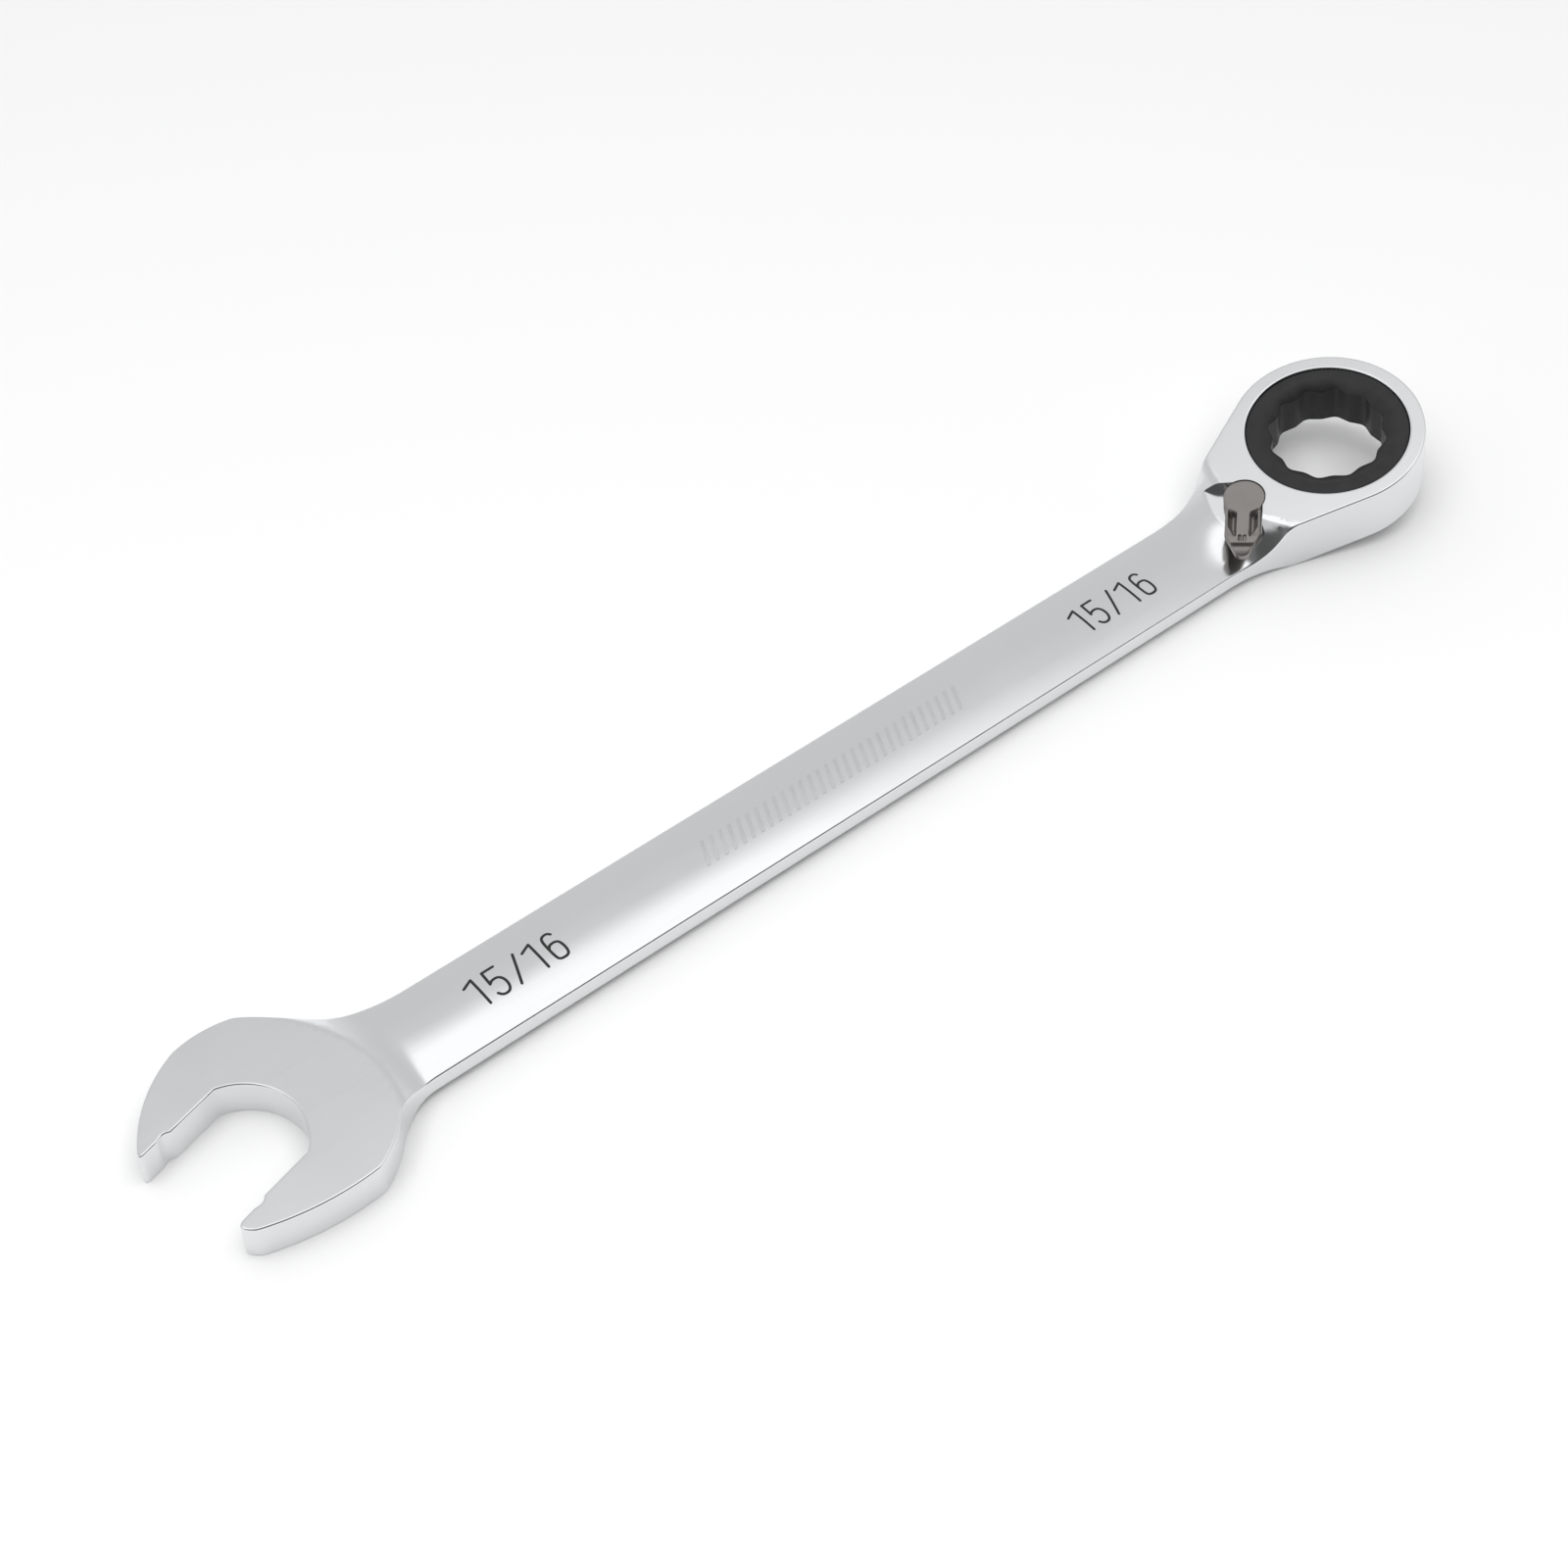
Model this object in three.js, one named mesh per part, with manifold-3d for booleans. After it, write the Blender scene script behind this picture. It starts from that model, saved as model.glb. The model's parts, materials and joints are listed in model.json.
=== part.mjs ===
// Reversible ratcheting combination wrench, 15/16 in.
// Open jaw at one end, twelve-point ratchet ring with a reversing lever at the other.
// Units are millimetres, +Z is up. The wrench lies on its flat underside, its length along X.

import * as THREE from 'three';
import { mergeVertices } from 'three/addons/utils/BufferGeometryUtils.js';
import Module from 'manifold-3d';

const wasm = await Module();
wasm.setup();

const degrees = THREE.MathUtils.degToRad;

// ---------------------------------------------------------------- driving dimensions

const NUT_ACROSS_FLATS = 23.81;        // 15/16 in hexagon that both ends fit
const HEAD_TO_RING = 290;              // centre of the open head to the ring's centre, along X

const JAW_WALL = 13.3;                 // head metal outside the jaw, each side
const HEAD_BACK_SET = 0.6;             // the head's round is centred this far past the jaw's centre
const HEAD_NEAR_SET = 0.8;             // and this far to the near side
const NEAR_FLANK_RADIUS = 60;          // flatter arc along the near jaw's outside
const NEAR_FLANK_CUT = 1.1;            // that arc reaches this far less than the head's radius
const NEAR_FLANK_SET = 3.5;            // its furthest point lies this far towards the shank
const FAR_FLANK_RADIUS = 34.2;         // flatter arc along the far jaw's outside
const FAR_FLANK_GROWTH = 1;            // that arc reaches this far over the head's radius
const FAR_FLANK_SET = 6.1;             // its furthest point lies this far towards the shank
const HEAD_THICKNESS = 8.9;
const HEAD_SHOULDER_RADIUS = 34;       // flatter arc that ends the head's face over the shank
const HEAD_SHOULDER_CUT = 2.6;         // that arc reaches this far less than the head's radius
const HEAD_SHOULDER_OFFSET = -5.4;     // the arc's centre lies this far to the near side
const HEAD_COVE_LENGTH = 6.5;          // hollow slope from the head's face down to the shank
const JAW_ANGLE = 15;                  // degrees between the jaw and the shank
const JAW_CLEARANCE = 0.19;            // opening over the nut's size
const JAW_SEAT = 9;                    // head centre to the centre of a seated nut
const JAW_TIP_RELIEF = 0.45;           // the jaw tips open by this much on each side
const JAW_NOTCH_DEPTH = 0.7;           // relief where the nut's outer corners sit
const JAW_NOTCH_HALF = 1.6;            // half the length of that relief

const SHANK_WIDTH = 21.6;
const SHANK_OFFSET = -1;               // shank axis lies this far to the near side
const SHANK_MID_HEIGHT = 4;            // middle plane of the shank above the floor
const SHANK_EDGE_THICKNESS = 4.05;     // height of the straight side faces
const SHANK_CROWN = 1.3;               // rise of the rounded faces over the edges
const FAR_HEAD_FILLET = 38;            // plan radius from shank to head, far side
const NEAR_HEAD_FILLET = 16;           // plan radius from shank to head, near side

const RING_TILT = 12;                  // degrees that the ring leans up from the shank
const HOUSING_WALL = 3.65;             // ring metal outside the gear's plain rim
const HOUSING_THICKNESS = 14.4;
const HOUSING_TAPER = 20;              // degrees that each flank closes towards the shank
const HOUSING_FACE_REACH = 2.7;        // the ring's face runs this far past the lever's axis
const HOUSING_HEEL_REACH = 3.2;        // the underside lifts off this far outside the housing
const HOUSING_COVE_LENGTH = 26;        // hollow slope from the ring's face down to the shank
const HOUSING_SIDE_COVE_LENGTH = 14;   // the same slope along the shank's sides
const NECK_FILLET = 60;                // plan radius from shank to housing flank

const TOOTH_COUNT = 90;
const TOOTH_HEIGHT = 0.6;
const GEAR_WALL = 5.12;                // socket corner to the plain rim in the ring's face
const GEAR_FACE_INSET = 0.25;          // gear face below the ring's face
const GEAR_LIP_DEPTH = 2.6;            // depth of the housing's front lip
const GEAR_BACK_STEP = 1.1;            // the toothed rim ends this far before the gear's back
const GEAR_LEAD_WIDTH = 2.07;          // sloped lead-in round the socket's corners
const GEAR_LEAD_DEPTH = 0.75;
const SOCKET_CLEARANCE = 0.15;         // socket over the nut's size
const SOCKET_CORNER_CUT = 0.217;       // the socket's corners are cut back inside the nut's circle
const SOCKET_TURN = 5;                 // degrees from a tooth's middle to the socket's first corner

const RUNNING_GAP = 0.15;              // radial gap round turning journals
const SIDE_GAP = 0.3;                  // gap over flat faces that slide

const SNAP_THICKNESS = 0.9;            // gear snap ring
const SNAP_BITE = 0.7;                 // the ring sits this deep in the wall of the gear's bore
const SNAP_LAP = 0.75;                 // and laps this far over the gear's back
const SNAP_OPENING = 12;               // degrees
const SNAP_BACK_WALL = 0.9;            // housing metal behind the ring
const GROOVE_GAP = 0.15;               // play of a snap ring in its groove, each face
const GROOVE_DEPTH_GAP = 0.25;         // play of a snap ring at the groove's bottom

const PAWL_END_SET = 1.15;             // the pawl stops this far inside each end of the toothed rim
const PAWL_HALF_ANGLE = 24;            // degrees of arc from the middle to each end
const PAWL_PLAIN_ANGLE = 8;            // degrees of plain arc from the middle to the first tooth
const PAWL_CREST_GAP = 0.15;           // tooth tips ride this far off the gear's crests
const PAWL_WALL = 2.9;                 // pawl's tooth roots to its back
const PAWL_SHIFT = 10;                 // degrees between the two driving positions
const PAWL_END_GAP = 1.5;              // degrees left past each end of the travel

const LEVER_STEM_STAND = 0.7;          // pawl's back to the lever's stem
const LEVER_SWING = 86;                // degrees between the two driving positions
const LEVER_HEAD_RADIUS = 4.7;
const LEVER_THICKNESS = 2.2;
const LEVER_HEAD_INSET = 0.05;         // lever's face below the ring's face
const LEVER_ARM_LENGTH = 16.6;         // lever axis to the arm's tip
const LEVER_ARM_HALF_WIDTH = 4.1;
const LEVER_ARM_TIP_HALF_WIDTH = 2.3;
const LEVER_SHOULDER_START = 3.2;      // along the arm, where it stands clear of the head
const LEVER_TAPER_START = 10.5;        // along the arm, where it starts to narrow
const LEVER_STEM_RADIUS = 3.2;
const LEVER_STEM_GAP = 0.2;
const LEVER_STEM_FLOOR = 2.8;          // ring metal from the stem's end to the underside

const CLIP_THICKNESS = 0.5;            // lever snap ring
const CLIP_BITE = 0.45;                // the clip sits this deep in the stem
const CLIP_STAND = 0.7;                // and stands this far out of it
const CLIP_SET = 0.7;                  // stem's end to the middle of the clip
const CLIP_OPENING = 50;               // degrees

const BALL_RADIUS = 1.2;
const BALL_STAND = 0.3;                // the ball's centre lies this far outside the stem
const BALL_HOLE_GAP = 0.15;
const SPRING_WIRE_RADIUS = 0.15;
const SPRING_COIL_GAP = 0.3;           // the coil's radius is this much less than the ball's
const SPRING_TURNS = 5;
const SPRING_SEAT = 1.6;               // the ball's hole ends this far past the lever's axis
const SPRING_END_GAP = 0.12;

// ---------------------------------------------------------------- derived sizes

const TILT = degrees(RING_TILT);
const JAW_HALF = (NUT_ACROSS_FLATS + JAW_CLEARANCE) / 2;
const NUT_CORNER_RADIUS = NUT_ACROSS_FLATS / Math.sqrt(3);
const NUT_HALF_SIDE = NUT_CORNER_RADIUS / 2;
const HEAD_RADIUS = JAW_HALF + JAW_WALL;
const SOCKET_HALF = (NUT_ACROSS_FLATS + SOCKET_CLEARANCE) / 2;
const SOCKET_CORNER_RADIUS = NUT_CORNER_RADIUS - SOCKET_CORNER_CUT;
const GEAR_LEAD_RADIUS = SOCKET_CORNER_RADIUS + GEAR_LEAD_WIDTH;
const GEAR_JOURNAL_RADIUS = SOCKET_CORNER_RADIUS + GEAR_WALL;
const GEAR_ROOT_RADIUS = GEAR_JOURNAL_RADIUS + 0.1;
const GEAR_TIP_RADIUS = GEAR_ROOT_RADIUS + TOOTH_HEIGHT;
const MAIN_BORE_RADIUS = GEAR_TIP_RADIUS + SIDE_GAP;
const SNAP_OUTER_RADIUS = MAIN_BORE_RADIUS + SNAP_BITE;
const SNAP_INNER_RADIUS = GEAR_JOURNAL_RADIUS - SNAP_LAP;
const SNAP_TOP_DEPTH = HOUSING_THICKNESS - SNAP_BACK_WALL - SNAP_THICKNESS;
const GEAR_BACK_DEPTH = SNAP_TOP_DEPTH - SIDE_GAP;
const GEAR_TOOTH_END = GEAR_BACK_DEPTH - GEAR_BACK_STEP;
const PAWL_TOOTH_PITCH = 360 / TOOTH_COUNT;
const PAWL_TIP_RADIUS = GEAR_TIP_RADIUS + PAWL_CREST_GAP;
const PAWL_ROOT_RADIUS = PAWL_TIP_RADIUS + TOOTH_HEIGHT;
const PAWL_BACK_RADIUS = PAWL_ROOT_RADIUS + PAWL_WALL;
const POCKET_RADIUS = PAWL_BACK_RADIUS + SIDE_GAP + 0.1;
const GEAR_TOOTH_START = GEAR_LIP_DEPTH + SIDE_GAP;
const PAWL_MID_DEPTH = (GEAR_TOOTH_START + GEAR_TOOTH_END) / 2;
const PAWL_HEIGHT = GEAR_TOOTH_END - GEAR_TOOTH_START - 2 * PAWL_END_SET;
const LEVER_AXIS_DISTANCE = PAWL_BACK_RADIUS + LEVER_STEM_STAND + LEVER_STEM_RADIUS;
const LEVER_STEM_DEPTH = HOUSING_THICKNESS - LEVER_STEM_FLOOR;
const CLIP_DEPTH = LEVER_STEM_DEPTH - CLIP_SET;
const CLIP_INNER_RADIUS = LEVER_STEM_RADIUS - CLIP_BITE;
const CLIP_OUTER_RADIUS = LEVER_STEM_RADIUS + CLIP_STAND;
const BALL_REACH = LEVER_STEM_RADIUS + BALL_STAND;
const SPRING_COIL_RADIUS = BALL_RADIUS - SPRING_COIL_GAP;
const HOUSING_RADIUS = GEAR_JOURNAL_RADIUS + HOUSING_WALL;
const HOUSING_SHOULDER = LEVER_AXIS_DISTANCE + HOUSING_FACE_REACH;
const HOUSING_HEEL = HOUSING_RADIUS + HOUSING_HEEL_REACH;
const RING_HEIGHT = HOUSING_HEEL * Math.sin(TILT) + HOUSING_THICKNESS * Math.cos(TILT);
const HEEL_X = HEAD_TO_RING + HOUSING_THICKNESS * Math.sin(TILT) - HOUSING_HEEL * Math.cos(TILT);
const RING_STATION = HEEL_X + HOUSING_HEEL;
const LEVER_REST = degrees(LEVER_SWING / 2);
const PAWL_REST = degrees(PAWL_SHIFT / 2);

const SMOOTH_STEPS = 72;               // facets of the large round faces
const SMALL_STEPS = 32;                // facets of the small round faces
const SKIN = 0.05;                     // inner solids stay this far inside the outer faces
const PAST = 1;                        // cutters run this far past the faces that they open

// ---------------------------------------------------------------- solids from geometry

function toSolid(geometry) {
  const bare = geometry.clone();
  bare.deleteAttribute('normal');
  bare.deleteAttribute('uv');
  const merged = mergeVertices(bare, 1e-5);
  const mesh = new wasm.Mesh({
    numProp: 3,
    vertProperties: new Float32Array(merged.attributes.position.array),
    triVerts: new Uint32Array(merged.index.array),
  });
  return new wasm.Manifold(mesh);
}

function toGeometry(solid) {
  const mesh = solid.getMesh();
  const geometry = new THREE.BufferGeometry();
  geometry.setAttribute('position', new THREE.BufferAttribute(mesh.vertProperties, 3));
  geometry.setIndex(new THREE.BufferAttribute(mesh.triVerts, 1));
  geometry.computeVertexNormals();
  return geometry;
}

// A turned solid about +Z: profile is a closed outline of [radius, height] pairs.
function turned(profile, steps = SMOOTH_STEPS) {
  const points = profile.map(([radius, height]) => new THREE.Vector2(radius, height));
  return new THREE.LatheGeometry(points, steps).rotateX(Math.PI / 2);
}

function disc(radius, low, high, steps = SMOOTH_STEPS) {
  return turned([[0, low], [radius, low], [radius, high], [0, high]], steps);
}

// A straight-sided solid from an outline of [x, y] pairs, between two heights.
function plate(outline, low, high) {
  const shape = new THREE.Shape(outline.map(([x, y]) => new THREE.Vector2(x, y)));
  const settings = { depth: high - low, bevelEnabled: false, curveSegments: 1 };
  return new THREE.ExtrudeGeometry(shape, settings).translate(0, 0, low);
}

function arc(centreX, centreY, radius, from, to, steps) {
  const points = [];
  for (let i = 0; i <= steps; i += 1) {
    const angle = from + ((to - from) * i) / steps;
    points.push([centreX + radius * Math.cos(angle), centreY + radius * Math.sin(angle)]);
  }
  return points;
}

// A flat split ring about +Z, open at the given angle.
function splitRing(inner, outer, low, high, openingDegrees, openingAt, steps) {
  const half = degrees(openingDegrees / 2);
  const from = openingAt + half;
  const to = openingAt + 2 * Math.PI - half;
  return plate([...arc(0, 0, outer, from, to, steps), ...arc(0, 0, inner, to, from, steps)], low, high);
}

// ---------------------------------------------------------------- shape of the forged body

// Stations run along the underside. Up to the heel they stand upright on the floor; past it the
// underside climbs at the ring's tilt. Just before the heel they lean over smoothly.
const LEAN_START = HEEL_X - 30;

function leanAt(station) {
  const part = THREE.MathUtils.clamp((station - LEAN_START) / (HEEL_X - LEAN_START), 0, 1);
  return TILT * part * part * (3 - 2 * part);
}

function placed(station, across, height) {
  const beyond = Math.max(0, station - HEEL_X);
  const lean = leanAt(station);
  const x = station - beyond * (1 - Math.cos(TILT)) - height * Math.sin(lean);
  const z = beyond * Math.sin(TILT) + height * Math.cos(lean);
  return new THREE.Vector3(x, across, z);
}

// Height of the ring's face over the underside, measured along a station.
function ringFaceHeight(station) {
  const before = Math.max(0, HEEL_X - station);
  return (HOUSING_THICKNESS - before * Math.sin(TILT)) / Math.cos(TILT - leanAt(station));
}

// A side outline that leaves a circle through a hollow fillet and runs on along a straight line at
// the given distance. The circle's centre is at circleX, circleOut to the outline's side. Returns
// how far out the side is at x.
function filletedSide(circleX, circleOut, circleRadius, line, fillet) {
  const reach = Math.sqrt((circleRadius + fillet) ** 2 - (line - circleOut + fillet) ** 2);
  const centreX = circleX + reach;
  const tangentX = circleX + (reach * circleRadius) / (circleRadius + fillet);
  return (x) => {
    if (x < tangentX) return circleOut + Math.sqrt(circleRadius ** 2 - (x - circleX) ** 2) - SKIN;
    if (x < centreX) return line + fillet - Math.sqrt(fillet ** 2 - (centreX - x) ** 2);
    return line;
  };
}

// The housing's flank: a line tangent to the housing's circle, closing towards the shank, and a
// hollow fillet where it meets the shank's side.
function housingSide(line) {
  const taper = degrees(HOUSING_TAPER);
  const slope = Math.tan(taper);
  const flankAt = (station) => HOUSING_RADIUS / Math.cos(taper) + (station - RING_STATION) * slope;
  const crossing = RING_STATION - (HOUSING_RADIUS / Math.cos(taper) - line) / slope;
  const reach = NECK_FILLET * Math.tan(taper / 2);
  const start = crossing - reach;
  const end = crossing + reach * Math.cos(taper);
  return (station) => {
    if (station < start) return line;
    if (station < end) return line + NECK_FILLET - Math.sqrt(NECK_FILLET ** 2 - (station - start) ** 2);
    return flankAt(station) - SKIN;
  };
}

const farLine = SHANK_WIDTH / 2 + SHANK_OFFSET;
const nearLine = SHANK_WIDTH / 2 - SHANK_OFFSET;
const headShoulderX = HEAD_RADIUS - HEAD_SHOULDER_CUT - HEAD_SHOULDER_RADIUS;
const farHeadSide = filletedSide(headShoulderX, HEAD_SHOULDER_OFFSET, HEAD_SHOULDER_RADIUS, farLine,
  FAR_HEAD_FILLET);
const nearHeadSide = filletedSide(-HEAD_BACK_SET, HEAD_NEAR_SET, HEAD_RADIUS, nearLine,
  NEAR_HEAD_FILLET);
const farRingSide = housingSide(farLine);
const nearRingSide = housingSide(nearLine);
const MIDWAY = HEAD_TO_RING / 2;

function sideLimits(station) {
  if (station < MIDWAY) return [-nearHeadSide(station), farHeadSide(station)];
  return [-nearRingSide(station), farRingSide(station)];
}

// The part of a shoulder's height that is left at a distance outside its arc.
function cove(distance, length, power) {
  return Math.max(0, 1 - Math.max(0, distance) / length) ** power;
}

function pastHeadShoulder(station, across) {
  return Math.hypot(station - headShoulderX, across - HEAD_SHOULDER_OFFSET) - HEAD_SHOULDER_RADIUS;
}

function pastRingShoulder(station, across) {
  return Math.hypot(station - RING_STATION, across) - HOUSING_SHOULDER;
}

// Top and bottom of the body at a place between its sides. `spread` runs from -1 to 1 across it.
function bodyHeights(station, across, spread) {
  const half = SHANK_EDGE_THICKNESS / 2 + SHANK_CROWN * (1 - spread * spread);
  const high = SHANK_MID_HEIGHT + half;
  const low = SHANK_MID_HEIGHT - half;
  const atHead = station < MIDWAY;
  const distance = atHead ? pastHeadShoulder(station, across) : pastRingShoulder(station, across);
  const ringCove = HOUSING_COVE_LENGTH + (HOUSING_SIDE_COVE_LENGTH - HOUSING_COVE_LENGTH) * spread ** 2;
  const length = atHead ? HEAD_COVE_LENGTH : ringCove;
  const face = (atHead ? HEAD_THICKNESS : ringFaceHeight(station)) - SKIN;
  const top = high + (face - high) * cove(distance, length, atHead ? 2 : 3);
  const under = atHead ? HEAD_COVE_LENGTH : HOUSING_COVE_LENGTH / 2;
  const bottom = low + (SKIN - low) * cove(distance, under, 2);
  return [top, bottom];
}

// One lofted solid that runs from inside the head, along the shank, to inside the housing.
function shankGeometry() {
  const across = 14;
  const stations = [];
  const straight = HEAD_RADIUS + FAR_HEAD_FILLET / 2;
  for (let station = HEAD_RADIUS / 2; station < straight; station += 2.2) stations.push(station);
  for (let station = LEAN_START - 2; station < RING_STATION - HOUSING_RADIUS + 2; station += 2) {
    stations.push(station);
  }
  const positions = [];
  const index = [];
  const row = 2 * (across + 1);
  for (const station of stations) {
    const [near, far] = sideLimits(station);
    for (let i = 0; i <= across; i += 1) {
      const spread = -Math.cos((Math.PI * i) / across);
      const y = near + ((far - near) * (spread + 1)) / 2;
      const [top, bottom] = bodyHeights(station, y, spread);
      positions.push(...placed(station, y, bottom).toArray());
      positions.push(...placed(station, y, top).toArray());
    }
  }
  const quad = (a, b, c, d) => index.push(a, b, c, a, c, d);
  for (let s = 0; s + 1 < stations.length; s += 1) {
    const here = s * row;
    const next = here + row;
    for (let i = 0; i < across; i += 1) {
      const k = 2 * i;
      quad(here + k, here + k + 2, next + k + 2, next + k);
      quad(here + k + 1, next + k + 1, next + k + 3, here + k + 3);
    }
    quad(here, next, next + 1, here + 1);
    const edge = row - 2;
    quad(here + edge, here + edge + 1, next + edge + 1, next + edge);
  }
  const last = (stations.length - 1) * row;
  for (let i = 0; i < across; i += 1) {
    const k = 2 * i;
    quad(k, k + 1, k + 3, k + 2);
    quad(last + k, last + k + 2, last + k + 3, last + k + 1);
  }
  const geometry = new THREE.BufferGeometry();
  geometry.setAttribute('position', new THREE.Float32BufferAttribute(positions, 3));
  geometry.setIndex(index);
  return geometry;
}

// Half of the jaw's outline, from the throat to past the tip, as [along, aside] pairs. The throat
// is the circle through a seated nut's corners.
function halfJaw() {
  const throatEnd = Math.acos(-Math.sqrt(1 - (JAW_HALF / NUT_CORNER_RADIUS) ** 2));
  const throat = arc(JAW_SEAT, 0, NUT_CORNER_RADIUS, Math.PI, throatEnd, 12);
  const notch = JAW_SEAT + NUT_HALF_SIDE;
  const notchWalls = [];
  for (let i = 0; i <= 8; i += 1) {
    const part = i / 8;
    const level = JAW_TIP_RELIEF * part + JAW_NOTCH_DEPTH * Math.sin(Math.PI * part) * (1 - part / 2);
    notchWalls.push([notch + JAW_NOTCH_HALF * (2 * part - 1), JAW_HALF + level]);
  }
  return [...throat, ...notchWalls, [HEAD_RADIUS + 2 * PAST, JAW_HALF + JAW_TIP_RELIEF]];
}

function jawCutter() {
  const half = halfJaw();
  const mirrored = half.slice(1).reverse().map(([along, aside]) => [along, -aside]);
  const outline = [...mirrored, ...half].reverse();
  return plate(outline, -PAST, HEAD_THICKNESS + PAST).rotateZ(Math.PI + degrees(JAW_ANGLE));
}

// The head's outline is the overlap of four circles: its round, the shoulder and the two flanks.
function headSolid() {
  let head = toSolid(disc(HEAD_RADIUS, 0, HEAD_THICKNESS).translate(-HEAD_BACK_SET, -HEAD_NEAR_SET, 0));
  const limits = [
    [HEAD_SHOULDER_RADIUS, headShoulderX, HEAD_SHOULDER_OFFSET],
    [NEAR_FLANK_RADIUS, NEAR_FLANK_SET, NEAR_FLANK_RADIUS - HEAD_RADIUS + NEAR_FLANK_CUT],
    [FAR_FLANK_RADIUS, FAR_FLANK_SET, HEAD_RADIUS + FAR_FLANK_GROWTH - FAR_FLANK_RADIUS],
  ];
  for (const [radius, x, y] of limits) {
    const limit = disc(radius, -PAST, HEAD_THICKNESS + PAST, 2 * SMOOTH_STEPS);
    head = head.intersect(toSolid(limit.translate(x, y, 0)));
  }
  return head;
}

// ---------------------------------------------------------------- shapes in the ring's frame
// Here the origin is the middle of the ring's face, Z is the ring's axis and -X points to the
// shank. Depths are counted down from the face.

function housingGeometry() {
  const taper = degrees(HOUSING_TAPER);
  const tangent = Math.PI / 2 + taper;
  const corner = tangent + Math.acos(HOUSING_RADIUS / HOUSING_SHOULDER);
  const round = arc(0, 0, HOUSING_RADIUS, -tangent, tangent, SMOOTH_STEPS);
  const shoulder = arc(0, 0, HOUSING_SHOULDER, corner, 2 * Math.PI - corner, 18);
  return plate([...round, ...shoulder], -HOUSING_THICKNESS, 0);
}

// Everything below the floor that the wrench lies on.
function underFloor() {
  const depth = HOUSING_THICKNESS;
  const block = new THREE.BoxGeometry(2 * HOUSING_SHOULDER, 4 * HOUSING_SHOULDER, depth);
  return toSolid(block.translate(HEEL_X, 0, -depth / 2));
}

function sector(inner, outer, halfAngle, low, high, steps) {
  const from = Math.PI - halfAngle;
  const to = Math.PI + halfAngle;
  return plate([...arc(0, 0, outer, from, to, steps), ...arc(0, 0, inner, to, from, steps)], low, high);
}

const POCKET_TOP = -PAWL_MID_DEPTH + PAWL_HEIGHT / 2 + SIDE_GAP;
const POCKET_BOTTOM = -PAWL_MID_DEPTH - PAWL_HEIGHT / 2 - SIDE_GAP;
const STEM_BORE_RADIUS = LEVER_STEM_RADIUS + LEVER_STEM_GAP;
const CLIP_GROOVE_RADIUS = CLIP_OUTER_RADIUS + GROOVE_GAP;
const CLIP_GROOVE_HALF = CLIP_THICKNESS / 2 + GROOVE_GAP;

// Outline of the lever's arm along +X, grown by a margin.
function armOutline(margin) {
  const half = LEVER_ARM_HALF_WIDTH + margin;
  const tipHalf = LEVER_ARM_TIP_HALF_WIDTH + margin;
  const tip = LEVER_ARM_LENGTH + margin;
  const tipRound = arc(tip - tipHalf, 0, tipHalf, -Math.PI / 2, Math.PI / 2, 8);
  const start = LEVER_SHOULDER_START - margin;
  return [[0, -half + 1], [start, -half], [LEVER_TAPER_START, -half], ...tipRound,
    [LEVER_TAPER_START, half], [start, half], [0, half - 1]];
}

// The recess in the face that the lever's head and arm move in, about the lever's axis.
function leverRecess() {
  const floor = -LEVER_HEAD_INSET - LEVER_THICKNESS - SIDE_GAP;
  let recess = toSolid(disc(LEVER_HEAD_RADIUS + LEVER_STEM_GAP, floor, PAST, SMALL_STEPS));
  const swept = 8;
  for (let i = 0; i <= swept; i += 1) {
    const turn = Math.PI + LEVER_REST * ((2 * i) / swept - 1);
    recess = recess.add(toSolid(plate(armOutline(SIDE_GAP), floor, 3 * PAST).rotateZ(turn)));
  }
  return recess;
}

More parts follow.
